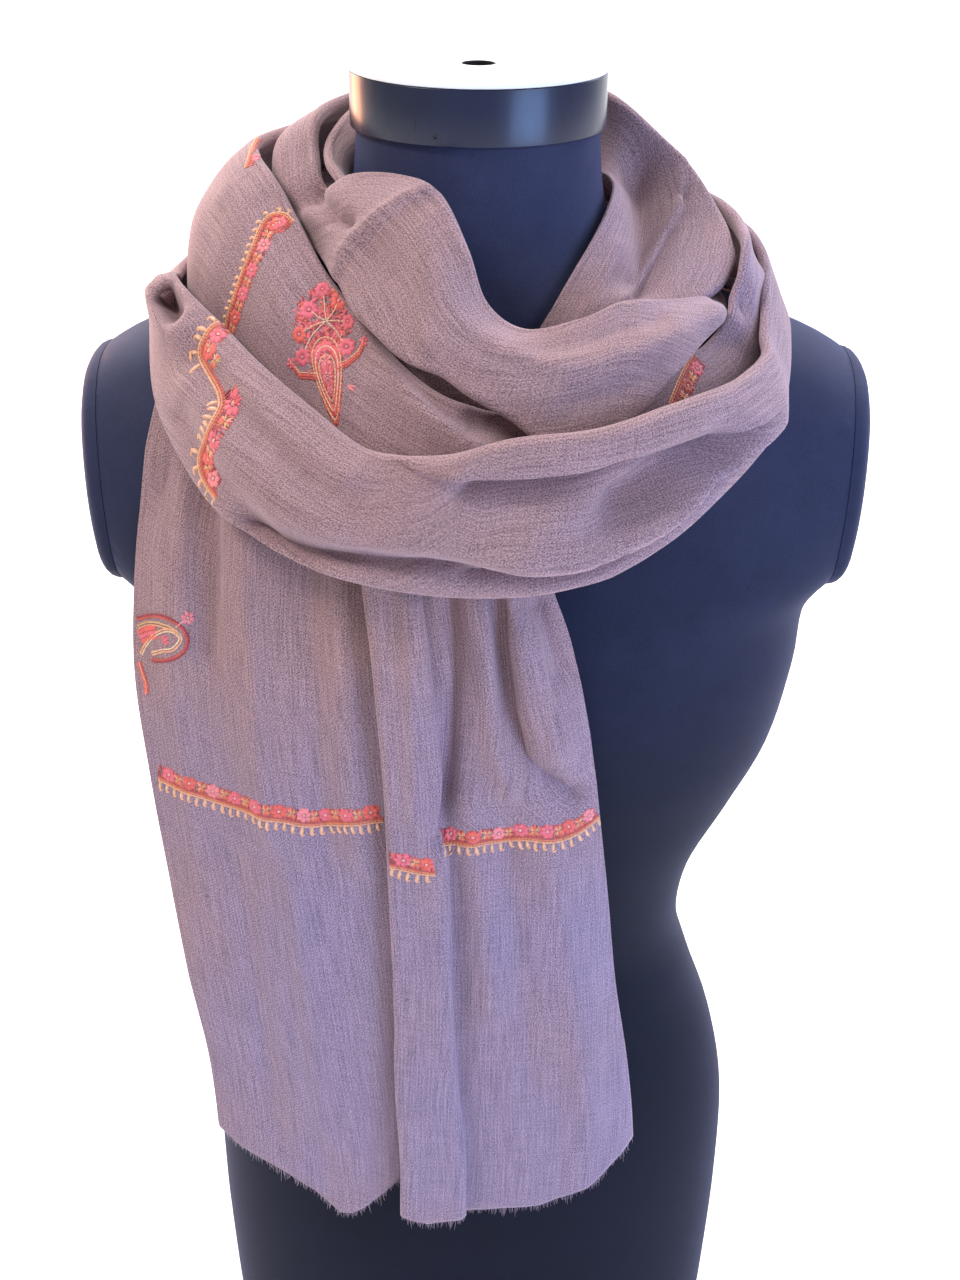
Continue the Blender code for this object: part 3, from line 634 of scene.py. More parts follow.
def make_plate(name, side, node):
    outline = armholes[side]
    facing = armhole_plane(side)[1]
    centre = sum(outline, Vector()) / len(outline)
    rings = []
    for size, dome in PLATE_RINGS:
        lift = facing * (SEAM_GAP + dome * PLATE_DOME)
        rings.append([list(centre + (point - centre) * size + lift) for point in outline])
    plate = closed_skin(name, np.array(rings).transpose(1, 0, 2))
    smooth(plate, PLATE_CRISP)
    finish_piece(plate, jersey_finish, "jersey", node)


make_plate("dress_form_plate_left", -1, "form_arm_plate_left")
make_plate("dress_form_plate_right", 1, "form_arm_plate_right")
print("plates dome out", PLATE_DOME / MM, "mm")

# %% [markdown]
# ## Neck band, cap and pin
# The neck ends in a turned plastic band with a white disc on it, which has a small, dark-lined hole for a finial. One
# small dark pin holds the band near its lower edge, in front. They could be turned on one long profile, but
# primitives are quicker, and a bevel takes the sharpness off their edges so that they catch the light.

# %% Neck band, cap and pin
NECK_RADIUS = 0.0575
BAND_BOTTOM = 0.7537
BAND_TOP = 0.779
BAND_WALL = 0.0022
CAP_RADIUS = 0.0605
CAP_THICKNESS = 0.002
CAP_HOLE_RADIUS = 0.0082
LINER_WALL = 0.0005
TURNED_SIDES = 128
LINER_SIDES = 48
EDGE_ROUND = 0.0005
EDGE_STEPS = 3
EDGE_CRISP = 40
PIN_RADIUS = 0.0011
PIN_SIDES = 16
PIN_RINGS = 8
PIN_SINK = 0.0005
PIN_SEEN_AT = (435, 137)


def named(name):
    """Names the primitive that was just added, and works its place into its points."""
    piece = bpy.context.object
    piece.name = name
    bpy.ops.object.transform_apply(location=True, rotation=True, scale=True)
    return piece


def add_wall(piece, thickness, offset, edge):
    """Gives a shell its thickness, and rounds its edges."""
    apply_modifier(piece, "wall", "SOLIDIFY", thickness=thickness, offset=offset)
    apply_modifier(piece, "edges", "BEVEL", width=edge, segments=EDGE_STEPS, limit_method="ANGLE")
    smooth(piece, EDGE_CRISP)


def open_tube(name, sides, radius, middle, height):
    deselect()
    bpy.ops.mesh.primitive_cylinder_add(vertices=sides, radius=radius, end_fill_type="NOTHING", depth=height,
                                        location=(0, 0, middle))
    return named(name)


def make_band():
    middle = (BAND_BOTTOM + BAND_TOP) / 2
    band = open_tube("neck_band_gloss", TURNED_SIDES, NECK_RADIUS + SEAM_GAP, middle, BAND_TOP - BAND_BOTTOM)
    add_wall(band, BAND_WALL, 1.0, EDGE_ROUND)
    return finish_piece(band, gloss.material, "band", "neck_band")


def make_cap():
    deselect()
    low = BAND_TOP + SEAM_GAP
    bpy.ops.mesh.primitive_circle_add(vertices=TURNED_SIDES, radius=CAP_RADIUS, fill_type="NGON",
                                      location=(0, 0, low))
    cap = named("neck_cap_disc")
    edit(cap)
    bpy.ops.mesh.inset(thickness=CAP_RADIUS - CAP_HOLE_RADIUS)
    bpy.ops.mesh.delete(type="FACE")
    bpy.ops.mesh.select_all(action="SELECT")
    tidy_normals()
    done()
    upwards = 1.0 if cap.data.polygons[0].normal.z > 0 else -1.0
    add_wall(cap, CAP_THICKNESS, upwards, EDGE_ROUND)
    return finish_piece(cap, white.material, "cap", "neck_cap")


def make_liner():
    middle = BAND_TOP + SEAM_GAP + CAP_THICKNESS / 2
    liner = open_tube("neck_cap_liner", LINER_SIDES, CAP_HOLE_RADIUS - SEAM_GAP, middle, CAP_THICKNESS - SEAM_GAP)
    add_wall(liner, LINER_WALL, -1.0, LINER_WALL / 5)
    return finish_piece(liner, black.material, "cap")


def make_pin(band):
    hit, facing, _, _ = skin_of(band).ray_cast(CAMERA_PLACE, sight_line(*PIN_SEEN_AT))
    deselect()
    middle = hit - facing * PIN_SINK
    bpy.ops.mesh.primitive_uv_sphere_add(segments=PIN_SIDES, ring_count=PIN_RINGS, radius=PIN_RADIUS,
                                         location=middle)
    pin = named("neck_band_pin")
    smooth(pin)
    return finish_piece(pin, black.material, "band")


band = make_band()
turned = [band, make_cap(), make_liner(), make_pin(band)]
print("turned pieces:", {piece.name: len(piece.data.polygons) for piece in turned})

# %% [markdown]
# ## The loops as bands
# A scarf that is wound round a neck is a band between two edges: the rim, where the cloth folds over, and the hem,
# where it folds under. A simulation could drop a sheet on the form, but it would never land in these folds. So each
# loop is set down station by station round the neck: where its rim and its hem pass, how far it bellies out between
# them, and how far it turns in behind.

# %% The loops' tables
# A stretch of cloth is a band between two rails. Each row is a station along it: the place of the rim rail and of
# the hem rail, how far the face bows out between them, how far the cloth turns in behind the rim and under the hem,
# and how far apart the face and those turnings lie. The collar's rim lies against the neck, and its hem is its outer
# top edge.
Station = namedtuple("Station", "rim_turn rim_reach rim_height hem_turn hem_reach hem_height belly tuck under fold")
COLLAR = table(
    Station,
    (-34, 84, 678, -29, 101, 652, 2, 0, 3, 4), (-14, 88, 672, -8, 111, 645, 2, 0, 3, 4),
    (6, 84, 668, 16, 111, 650, 2, 0, 3, 4), (17, 79, 670, 42, 103, 668, 1, 0, 3, 4),
    (25, 75, 680, 54, 111, 678, 0, 0, 3, 4), (36, 72, 696, 68, 118, 691, -4, 0, 4, 4),
    (52, 68, 711, 80, 119, 703, -7, 0, 5, 4), (72, 65, 722, 91, 113, 715, -9, 0, 7, 4),
    (92, 64, 727, 104, 102, 732, -9, 0, 9, 4), (112, 63, 726, 120, 82, 754, -6, 0, 10, 4.5),
    (134, 62, 724, 138, 78, 760, -4, 0, 12, 5), (156, 62, 722, 158, 77, 762, -2, 0, 12, 5),
    (180, 62, 722, 180, 77, 761, 0, 0, 12, 5), (-156, 62, 724, -156, 76, 758, 1, 0, 12, 5),
    (-130, 62, 728, -130, 74, 752, 4, 0, 10, 4.5), (-104, 62, 726, -104, 69, 744, 4, 0, 5, 4),
    (-82, 62, 722, -82, 68, 738, 3, 0, 3, 3.6), (-62, 62, 716, -62, 67, 732, 2, 0, 3, 3.6),
    (-46, 62, 709, -46, 67, 722, 2, 0, 3, 3.2),
)
INNER_LOOP = table(
    Station,
    (180, 88, 756, 180, 106, 704, 4, 12, 8, 5), (-150, 87, 757, -150, 108, 708, 4, 12, 8, 5),
    (-124, 85, 755, -122, 106, 716, 6, 12, 6, 5), (-102, 82, 751, -98, 98, 726, 8, 10, 4, 5),
    (-82, 79, 738, -80, 94, 717, 6, 8, 4, 5), (-67, 78, 727, -71, 90, 712, 3, 8, 4, 4),
    (-50, 76, 738, -61, 89, 710, 6, 12, 4, 4), (-30, 72, 741, -50, 91, 707, 8, 14, 4, 4),
    (-13, 85, 738, -38, 99, 701, 5, 16, 4, 4.5), (-4, 102, 719, -25, 114, 688, 6, 18, 5, 5),
    (1, 114, 698, -11, 130, 674, 7, 18, 6, 5.5), (9, 123, 688, -1, 142, 664, 7, 18, 8, 6),
    (20, 129, 692, 11, 153, 652, 7, 20, 8, 6), (30, 128, 697, 22, 154, 654, 7, 20, 8, 6),
    (42, 124, 694, 36, 144, 673, 5, 14, 6, 5), (56, 120, 689, 49, 132, 680, 3, 7, 3, 3.6),
    (64, 115, 682, 60, 120, 677, 1, 2, 1.5, 3.4), (77, 110, 681, 77, 114, 676, 1, 2, 1.5, 3.4),
    (93, 106, 698, 93, 113, 683, 1, 5, 3, 3.6), (115, 98, 716, 114, 109, 686, 2, 7, 4, 3.6),
    (145, 93, 739, 145, 108, 696, 4, 10, 6, 4.5),
)
MIDDLE_LOOP = table(
    Station,
    (180, 108, 738, 180, 127, 682, 4, 10, 6, 5), (-154, 109, 740, -154, 129, 686, 5, 10, 6, 5),
    (-130, 111, 738, -130, 132, 690, 7, 10, 6, 5), (-107, 113, 736, -103, 138, 680, 8, 10, 6, 5),
    (-89, 106, 735, -86, 137, 670, 11, 8, 5, 5), (-74, 99, 727, -74, 130, 662, 11, 8, 5, 5),
    (-60, 98, 716, -62, 124, 653, 9, 7, 5, 4), (-47, 100, 702, -50, 123, 645, 8, 7, 5, 4),
    (-34, 98, 684, -38, 126, 637, 6, 8, 5, 4.5), (-18, 112, 667, -24, 135, 630, 3, 8, 5, 5),
    (-5, 127, 657, -9, 140, 626, 2, 8, 5, 5), (8, 133, 654, 6, 143, 623, 2, 8, 5, 5),
    (22, 135, 653, 22, 144, 624, 2, 8, 5, 5), (37, 130, 664, 37, 144, 631, 3, 8, 5, 5),
    (57, 126, 672, 57, 143, 646, 2, 7, 5, 4), (72, 126, 701, 72, 136, 662, 1, 10, 4, 3.4),
    (88, 122, 709, 88, 131, 672, 1.5, 8, 4, 3.4), (105, 118, 713, 105, 128, 670, 1.5, 4, 4, 3.4),
    (125, 111, 721, 125, 129, 662, 4, 8, 5, 4), (150, 106, 731, 150, 126, 674, 4, 10, 6, 4.5),
)
OUTER_LOOP = table(
    Station,
    (180, 124, 712, 180, 142, 654, 5, 12, 8, 5), (-152, 126, 710, -152, 144, 652, 5, 12, 8, 5),
    (-128, 132, 697, -126, 147, 658, 4, 10, 7, 5), (-106, 141, 683, -103, 150, 662, 3, 7, 5, 4),
    (-90, 144, 681, -89, 152, 665, 3, 6, 5, 4), (-77, 142, 684, -77, 156, 662, 4, 9, 4, 3.8),
    (-64, 137, 678, -66, 160, 639, 6, 9, 5, 3.8), (-48, 137, 666, -53, 163, 620, 8, 9, 7, 4.5),
    (-32, 144, 653, -41, 165, 605, 9, 9, 9, 6.5), (-18, 156, 641, -27, 166, 595, 8, 10, 10, 7),
    (-6, 165, 644, -13, 164, 589, 8, 10, 10, 7), (5, 169, 653, 0, 163, 586, 6, 10, 10, 7),
    (17, 171, 656, 13, 164, 588, 5, 10, 10, 7), (30, 167, 661, 26, 162, 595, 5, 10, 10, 7),
    (45, 158, 662, 41, 158, 612, 5, 9, 9, 6), (61, 149, 668, 59, 154, 632, 4, 8, 8, 4.5),
    (78, 135, 687, 77, 144, 659, 3, 5, 4, 3.4), (95, 129, 698, 95, 140, 666, 3, 5, 4, 3.4),
    (108, 125, 702, 108, 139, 661, 3, 6, 4, 3.4), (124, 124, 704, 124, 141, 651, 3, 8, 6, 4),
    (150, 122, 709, 150, 140, 649, 4, 10, 8, 5),
)
print("stations:", [len(stations) for stations in (COLLAR, INNER_LOOP, MIDDLE_LOOP, OUTER_LOOP)])

# %% [markdown]
# ## A stretch of cloth
# Each loop and each end is one stretch: a fine grid of points, with a ruler along it and one across it. A fold is a
# soft ridge or trough along a line on the stretch. Its line is given as the eye sees it from the front, and the line
# of sight finds where it meets the cloth, so a fold always lies on the cloth itself.

# %% A stretch of cloth
# A crease is a soft ridge or trough, a lap is an edge that lies over the cloth on its right-hand side, and a pull
# draws the cloth aside as the eye sees it: to the right, up, and nearer. How sharply each fades is its own power.
Crease = namedtuple("Crease", "width height line")
Lap = namedtuple("Lap", "width height line")
Pull = namedtuple("Pull", "width shift line")
CREASE_POWER = 1.7
LAP_POWER = 1.4
PULL_POWER = 2.4
LAP_EDGE = 1.8
CLOTH_WALL = 0.0015
TINY = 1e-12
# The solid that each stretch of cloth stands for.
NODES = {
    "shawl_collar": "neck_collar",
    "shawl_inner_loop": "inner_loop",
    "shawl_middle_loop": "middle_loop",
    "shawl_outer_loop": "outer_loop",
    "shawl_left_end": "left_tail",
    "shawl_right_end": "right_tail",
}


class Stretch:
    """A grid of points in cloth, the way each moves in a fold, and the two rulers."""

    def __init__(self, name, points, push, along, across, closed):
        self.name = name
        self.points = points
        self.push = push
        self.along = along
        self.across = across
        self.closed = closed
        self.rise = np.zeros(points.shape[:2])
        self.drawn = np.zeros(points.shape)
        self.sight = None
        if closed:
            steps = np.linalg.norm(np.roll(points, -1, axis=0) - points, axis=2)
            self.round = float(steps.mean(axis=1).sum())

    def tree(self):
        rows, columns = self.points.shape[:2]
        faces = []
        for row in range(rows if self.closed else rows - 1):
            here, there = row * columns, (row + 1) % rows * columns
            faces += [(here + k, here + k + 1, there + k + 1, there + k) for k in range(columns - 1)]
        return BVHTree.FromPolygons([Vector(point) for point in self.points.reshape(-1, 3)], faces)

    def shorter(self, way):
        """A way along a closed stretch, taken by the shorter side."""
        return (way + self.round / 2) % self.round - self.round / 2 if self.closed else way

    def seen(self, px, py):
        """The two rulers' readings where a line of sight meets the stretch, or None."""
        hit, _, face, _ = self.sight.ray_cast(CAMERA_PLACE, sight_line(px, py))
        if hit is None:
            return None
        rows, columns = self.points.shape[:2]
        row, column = divmod(face, columns - 1)
        beside = (row + 1) % rows
        corner = Vector(self.points[row, column])
        down = Vector(self.points[beside, column]) - corner
        over = Vector(self.points[row, column + 1]) - corner
        part = (hit - corner).dot(down) / max(down.length_squared, TINY)
        share = (hit - corner).dot(over) / max(over.length_squared, TINY)
        step = self.along[beside, column] - self.along[row, column]
        if self.closed and step < 0:
            step += self.round
        aside = self.across[row, column + 1] - self.across[row, column]
        return self.along[row, column] + part * step, self.across[row, column] + share * aside

    def press(self, fold):
        """Adds a fold along a line that is seen from the front. Its height is below zero for a trough."""
        line = [place for place in (self.seen(*pixel) for pixel in fold.line) if place is not None]
        if not line:
            print(self.name, "has no cloth at", fold.line[0])
            return
        nearest = np.full(self.rise.shape, np.inf)
        left = np.zeros(self.rise.shape, bool)
        for start, end in zip(line, line[1:] or line):
            off, run = self.shorter(self.along - start[0]), self.shorter(end[0] - start[0])
            side, over = self.across - start[1], end[1] - start[1]
            share = np.clip((off * run + side * over) / max(run * run + over * over, TINY), 0, 1)
            away = np.hypot(off - share * run, side - share * over)
            left = np.where(away < nearest, off * over - side * run > 0, left)
            nearest = np.minimum(nearest, away)
        if isinstance(fold, Pull):
            drawn = np.array(SIGHT @ Vector(fold.shift)) * MM
            self.drawn += drawn * np.exp(-(nearest / (fold.width * MM)) ** PULL_POWER)[..., None]
        elif isinstance(fold, Lap):
            reach = np.where(left == (fold.width > 0), abs(fold.width), LAP_EDGE) * MM
            self.rise += fold.height * MM * np.exp(-(nearest / reach) ** LAP_POWER)
        else:
            self.rise += fold.height * MM * np.exp(-(nearest / (fold.width * MM)) ** CREASE_POWER)

    def ripple(self, pitch_along, pitch_across, height, seed):
        """Adds the faint waves that any cloth has, longer one way than the other."""
        radius = max(1, round(self.round / pitch_along)) / (2 * math.pi) if self.closed else None
        for spot in np.ndindex(self.rise.shape):
            along, across = self.along[spot], self.across[spot] / pitch_across
            if self.closed:
                angle = 2 * math.pi * along / self.round
                place = (radius * math.cos(angle), radius * math.sin(angle) + seed, across)
            else:
                place = (along / pitch_along, seed, across)
            self.rise[spot] += height * noise.noise(place)

    def fold_up(self, folds, ripple, seed):
        """Presses folds and ripples in, and moves the points by them."""
        self.sight = self.tree()
        for fold in folds:
            self.press(fold)
        self.ripple(*ripple, seed)
        self.points = self.points + self.push * self.rise[..., None] + self.drawn

    def piece(self):
        """The stretch as a piece with its wall, facing the way it is pushed."""
        ruler = np.stack([self.along, run_along(self.points, axis=1)], axis=2)
        if self.closed:
            last = ruler[:1].copy()
            last[..., 0] = self.along[:1] + self.round
            ruler = np.concatenate([ruler, last])
        made = rolled_grid(self.name, self.points, self.closed, ruler)
        probe = self.points.shape[0] // 2, self.points.shape[1] // 2
        spot = Vector(self.points[probe])
        nearest = min(made.data.vertices, key=lambda corner: (corner.co - spot).length_squared)
        if nearest.normal.dot(Vector(self.push[probe])) < 0:
            edit(made)
            bpy.ops.mesh.flip_normals()
            done()
        apply_modifier(made, "wall", "SOLIDIFY", thickness=CLOTH_WALL, offset=0.0)
        smooth(made)
        return finish_piece(made, cloth_finish, "shawl", NODES[self.name])


print("cloth wall", CLOTH_WALL / MM, "mm")

# %% [markdown]
# ## From stations to a band
# Between two stations the rails run on smooth curves. Across them the section is always the same: up behind the rim,
# over it, down the face, round the hem and back under it. The grid is fine enough for folds a few millimetres wide.

# %% From stations to a band
STEPS = 12
FACE_POINTS = 52
ROLL_POINTS = 9
HIDDEN_POINTS = 4
CLOTH_GAP = 0.0006
FRONT_TURN = 55
NEAR_FORM = 0.03
EASING = 0.965
EASING_PASSES = 30
RESTING_PASSES = 4
ON_FORM = CLOTH_WALL / 2 + CLOTH_GAP


def station_numbers(row):
    rim_turn, hem_turn = math.radians(row.rim_turn), math.radians(row.hem_turn)
    rim = (math.sin(rim_turn) * row.rim_reach, -math.cos(rim_turn) * row.rim_reach, row.rim_height)
    hem = (math.sin(hem_turn) * row.hem_reach, -math.cos(hem_turn) * row.hem_reach, row.hem_height)
    return [part * MM for part in (*rim, *hem, row.belly, row.tuck, row.under, row.fold)]


def band_section(width, belly, tuck, under, fold, rolled_rim):
    """How far down and how far out from the straight line between rim and hem each point of a section lies."""
    lip = fold / 2

    def face(down):
        return belly * math.sin(math.pi * min(max(down / width, 0.0), 1.0))

    turns = np.linspace(math.pi / 2, -math.pi / 2, ROLL_POINTS)
    places = [(0.0, 0.0)]
    if rolled_rim:
        places = [(down, face(down) - fold) for down in tuck * np.linspace(1, 1 / HIDDEN_POINTS, HIDDEN_POINTS)]
        places += [(-lip * math.cos(turn), -lip - lip * math.sin(turn)) for turn in turns]
    places += [(down, face(down)) for down in np.linspace(0, 1, FACE_POINTS + 2)[1:-1] * width]
    places += [(width + lip * math.cos(turn), -lip + lip * math.sin(turn)) for turn in turns]
    back = width - under * np.linspace(1 / HIDDEN_POINTS, 1, HIDDEN_POINTS)
    return places + [(down, face(down) - fold) for down in back]


def band_stretch(name, stations, closed):
    rows = [station_numbers(row) for row in stations]
    count = len(rows) * STEPS if closed else (len(rows) - 1) * STEPS + 1
    fine = along_curve(rows, np.arange(count) / STEPS, closed)
    rim, hem = fine[:, 0:3], fine[:, 3:6]
    middle = (rim + hem) / 2
    around = np.roll(middle, -1, axis=0) - np.roll(middle, 1, axis=0)
    travel = around if closed else np.gradient(middle, axis=0)
    down = unit(hem - rim)
    outward = unit(np.cross(hem - rim, travel))
    width = np.linalg.norm(hem - rim, axis=1)
    sections = np.array([band_section(width[k], *fine[k, 6:10], closed) for k in range(count)])
    across, out = sections[..., 0], sections[..., 1]
    points = rim[:, None] + down[:, None] * across[..., None] + outward[:, None] * out[..., None]
    push = np.repeat(outward[:, None], points.shape[1], axis=1)
    along = np.repeat(run_along(middle)[:, None], points.shape[1], axis=1)
    return Stretch(name, points, push, along, across, closed)


def ease(shifts, closed):
    """Hands each row's shift on to the rows beside it, a little less each time, so that no row stands alone."""
    for _ in range(EASING_PASSES):
        size = np.linalg.norm(shifts, axis=1)
        if closed:
            before, after = np.roll(shifts, 1, axis=0), np.roll(shifts, -1, axis=0)
        else:
            before, after = np.vstack([shifts[:1], shifts[:-1]]), np.vstack([shifts[1:], shifts[-1:]])
        for beside in (before, after):
            longer = np.linalg.norm(beside, axis=1) * EASING > size
            shifts = np.where(longer[:, None], beside * EASING, shifts)
            size = np.linalg.norm(shifts, axis=1)
    return shifts


def rest_on(stretch, surface, gap):
    """Moves each row that is in or too near the form out of it, all in one piece."""
    for _ in range(RESTING_PASSES):
        shifts = np.zeros((len(stretch.points), 3))
        for place, row in enumerate(stretch.points):
            worst = Vector()
            for point in row:
                near, facing, _, _ = surface.find_nearest(Vector(point), NEAR_FORM)
                if near is None:
                    continue
                short = gap - (Vector(point) - near).dot(facing)
                if short > worst.length:
                    worst = facing * short
            shifts[place] = worst
        if not shifts.any():
            break
        stretch.points = stretch.points + ease(shifts, stretch.closed)[:, None]


def stand_outside(stretch, surface, gap):
    """Moves each row of a loop out from the neck until it is outside a loop within it, except in front."""
    shifts = np.zeros((len(stretch.points), 3))
    for place, row in enumerate(stretch.points):
        middle = row.mean(axis=0)
        short = 0.0
        if abs(math.degrees(math.atan2(middle[0], -middle[1]))) > FRONT_TURN:
            for point in row:
                out = Vector((point[0], point[1], 0)).normalized()
                hit = surface.ray_cast(Vector(point) + out, -out, 1 + NEAR_FORM)[0]
                if hit is not None:
                    short = max(short, (hit - Vector(point)).dot(out) + gap)
        shifts[place] = np.array([middle[0], middle[1], 0]) / np.hypot(*middle[:2]) * short
    stretch.points = stretch.points + ease(shifts, stretch.closed)[:, None]


print("points across a loop:", len(band_section(1, 0, 0, 0, 0, True)))

# %% [markdown]
# ## The loops' folds
# Each loop has its own few folds: the collar its turned edge, the inner loop the ridge of its cowl and the drapes in
# front of it, the outer loop its rolled rim, the long crease over its lip and the pocket at the shoulder. A fold that
# is drawn by its line is easier to place than one that waits for a simulation.

# %% The loops' folds
COLLAR_FOLDS = [
    Crease(10, -11.0, [(636, 180), (646, 225), (646, 262), (638, 288)]),
    Crease(9, 3.0, [(612, 250), (600, 285), (590, 310)]),
    Lap(-12, 7.0, [(676, 208), (664, 232), (650, 258), (637, 281), (626, 298)]),
    Crease(6, -4.0, [(672, 200), (658, 226), (644, 252), (630, 278)]),
    Pull(12, (2.5, -1.0, 2.0), [(722, 262), (718, 280), (712, 296)]),
]
INNER_FOLDS = [
    Crease(3.6, -6.5, [(317, 192), (323, 207), (334, 217), (348, 223)]),
    Lap(-12, 3.0, [(446, 196), (425, 196), (407, 202), (394, 212), (372, 229), (356, 242), (344, 258), (340, 272)]),
    Crease(2.6, 1.6, [(446, 194), (425, 194), (407, 200), (394, 210), (372, 227), (356, 240), (344, 256)]),
    Crease(9, -3.0, [(372, 250), (385, 290), (410, 330)]),
    Crease(10, 2.6, [(425, 225), (448, 285), (490, 342), (545, 372)]),
    Crease(8, -2.4, [(400, 268), (432, 318), (480, 368), (535, 396)]),
    Crease(9, 2.0, [(420, 335), (470, 375), (530, 412)]),
    Crease(7, -2.6, [(545, 352), (600, 342), (660, 322)]),
    Crease(8, 1.8, [(570, 372), (620, 358), (668, 338)]),
    Crease(7, -2.4, [(575, 405), (625, 392), (655, 368)]),
    Pull(14, (2.0, 1.0, 0), [(380, 322), (400, 342), (428, 364)]),
    Pull(17, (4.5, 5.5, 0), [(450, 380), (480, 393), (512, 408)]),
    Pull(9, (4.0, 1.5, 0), [(712, 298), (717, 308), (712, 318)]),
]
MIDDLE_FOLDS = [
    Crease(8, -2.6, [(270, 200), (300, 250), (345, 318), (372, 352)]),
    Crease(8, 2.2, [(228, 196), (250, 240), (290, 305), (330, 372)]),
    Lap(-16, 7.0, [(352, 306), (372, 338), (395, 370), (420, 398), (450, 426), (478, 446)]),
    Pull(10, (0, 0, -14.0), [(416, 358), (452, 390), (492, 418), (530, 434)]),
    Crease(5, 2.6, [(734, 282), (750, 289)]),
    Crease(5, -3.0, [(726, 298), (744, 304)]),
    Crease(5, 2.4, [(718, 316), (742, 322)]),
    Crease(9, -2.4, [(690, 350), (720, 345), (745, 345)]),
]
OUTER_FOLDS = [
    Lap(16, 3.0, [(420, 468), (450, 475), (490, 476), (530, 474), (580, 466), (625, 455), (665, 446), (700, 438)]),
    Lap(16, 5.5, [(462, 476), (500, 476), (530, 474), (580, 466), (625, 455), (665, 446), (705, 436), (735, 426)]),
    Crease(6, -7.5, [(470, 486), (510, 486), (555, 482), (610, 470), (665, 455), (705, 444), (735, 434)]),
    Crease(6, -12.0, [(245, 520), (300, 546), (360, 558), (420, 564), (480, 570), (535, 573), (580, 568), (620, 554),
                     (658, 532), (698, 499), (735, 467), (762, 440)]),
    Lap(22, 4.0, [(270, 532), (330, 551), (420, 561), (500, 566), (560, 563)]),
    Lap(18, 12.0, [(520, 568), (545, 566), (605, 548), (640, 530), (672, 506), (702, 480), (735, 450), (762, 424)]),
    Crease(9, 2.6, [(330, 572), (420, 580), (531, 584), (610, 571), (668, 543), (715, 508), (755, 462)]),
    Crease(12, -16.0, [(618, 502), (650, 486), (682, 468), (706, 456)]),
    Crease(9, 3.0, [(640, 520), (684, 496), (720, 466)]),
    Crease(8, 2.6, [(560, 505), (600, 500), (640, 470)]),
    Pull(5.0, (0, 0, -22.0), [(172, 299), (176, 307), (181, 316)]),
    Pull(14.0, (-3.5, 0, 0), [(764, 280), (770, 305), (772, 330)]),
    Crease(6, 5.0, [(168, 282), (182, 286), (194, 298), (200, 316)]),
    Crease(6, 5.0, [(158, 296), (162, 314), (172, 330), (188, 336)]),
    Crease(8, 3.0, [(200, 330), (238, 372), (290, 430), (350, 476)]),
    Crease(8, -3.2, [(196, 352), (232, 402), (285, 458), (350, 502)]),
    Crease(9, 2.4, [(190, 385), (225, 440), (275, 490), (335, 522)]),
    Crease(7, -2.6, [(186, 415), (215, 470), (258, 518)]),
    Crease(10, -2.0, [(380, 500), (440, 520), (500, 525)]),
    Crease(10, 1.8, [(400, 535), (470, 545), (530, 545)]),
]
print("folds:", [len(folds) for folds in (COLLAR_FOLDS, INNER_FOLDS, MIDDLE_FOLDS, OUTER_FOLDS)])

# %% [markdown]
# ## Winding the loops
# The loops are laid from the neck outwards: first the stretch that stands behind the neck, then the inner, the middle
# and the outer loop. Each rests on the form and stands just outside the loops within it. Then its own folds are
# pressed in.

# %% Winding the loops
Loop = namedtuple("Loop", "name stations closed folds")
LOOPS = [
    Loop("shawl_collar", COLLAR, False, COLLAR_FOLDS),
    Loop("shawl_inner_loop", INNER_LOOP, True, INNER_FOLDS),
    Loop("shawl_middle_loop", MIDDLE_LOOP, True, MIDDLE_FOLDS),
    Loop("shawl_outer_loop", OUTER_LOOP, True, OUTER_FOLDS),
]
# Faint waves: how long along and across, and how high.
LOOP_RIPPLE = (0.11, 0.017, 0.0011)
SEED_STEP = 10.0
cloths, stretches = {}, {}


def add_cloth(stretch):
    """Makes a stretch's piece, keeps both, and returns the piece's skin."""
    piece = stretch.piece()
    cloths[stretch.name] = piece
    stretches[stretch.name] = stretch
    print(stretch.name, len(piece.data.polygons), "faces")
    return skin_of(piece)


def wind_loops():
    within = []
    for place, loop in enumerate(LOOPS):
        stretch = band_stretch(loop.name, loop.stations, loop.closed)
        rest_on(stretch, form_skin, ON_FORM)
        for other in within:
            stand_outside(stretch, other, ON_FORM)
        rest_on(stretch, form_skin, ON_FORM)
        stretch.fold_up(loop.folds, LOOP_RIPPLE, seed=SEED_STEP * place)
        within.append(add_cloth(stretch))


wind_loops()

# %% [markdown]
# ## The hanging ends' tables
# An end is a grid of heights and columns. The right one is turned back along its left edge and has one flat pleat,
# which the columns' places make: where they run back on themselves, the cloth doubles.

# %% The hanging ends' tables
# A tail is a row for each height: the x of its edges, how far in front of the axis each lies, and its belly.
TailRow = namedtuple("TailRow", "height left left_depth right right_depth belly")
LEFT_TAIL = table(
    TailRow,
    (658, -140, 40, -46, 100, 3), (640, -148, 50, -42, 110, 4), (615, -154, 60, -36, 122, 6),
    (566, -159, 82, -30, 128, 8), (515, -161, 94, -26, 132, 8), (465, -156, 101, -22, 132, 8),
    (410, -149, 106, -20, 131, 7), (350, -142, 108, -19, 130, 6), (300, -134, 109, -18, 128, 6),
    (250, -131, 109, -18, 127, 6),
)
RIGHT_TAIL = table(
    TailRow,
    (606, -49, 146, 30, 143, 1), (583, -48, 148, 33, 143, 2), (545, -44, 149, 44, 140, 3),
    (506, -41, 149, 52, 138, 3), (470, -39, 148, 58, 136, 3), (410, -38, 147, 65, 133, 3),
    (355, -37, 146, 71, 131, 4), (300, -36, 145, 80, 130, 4), (250, -33, 145, 85, 129, 4),
)

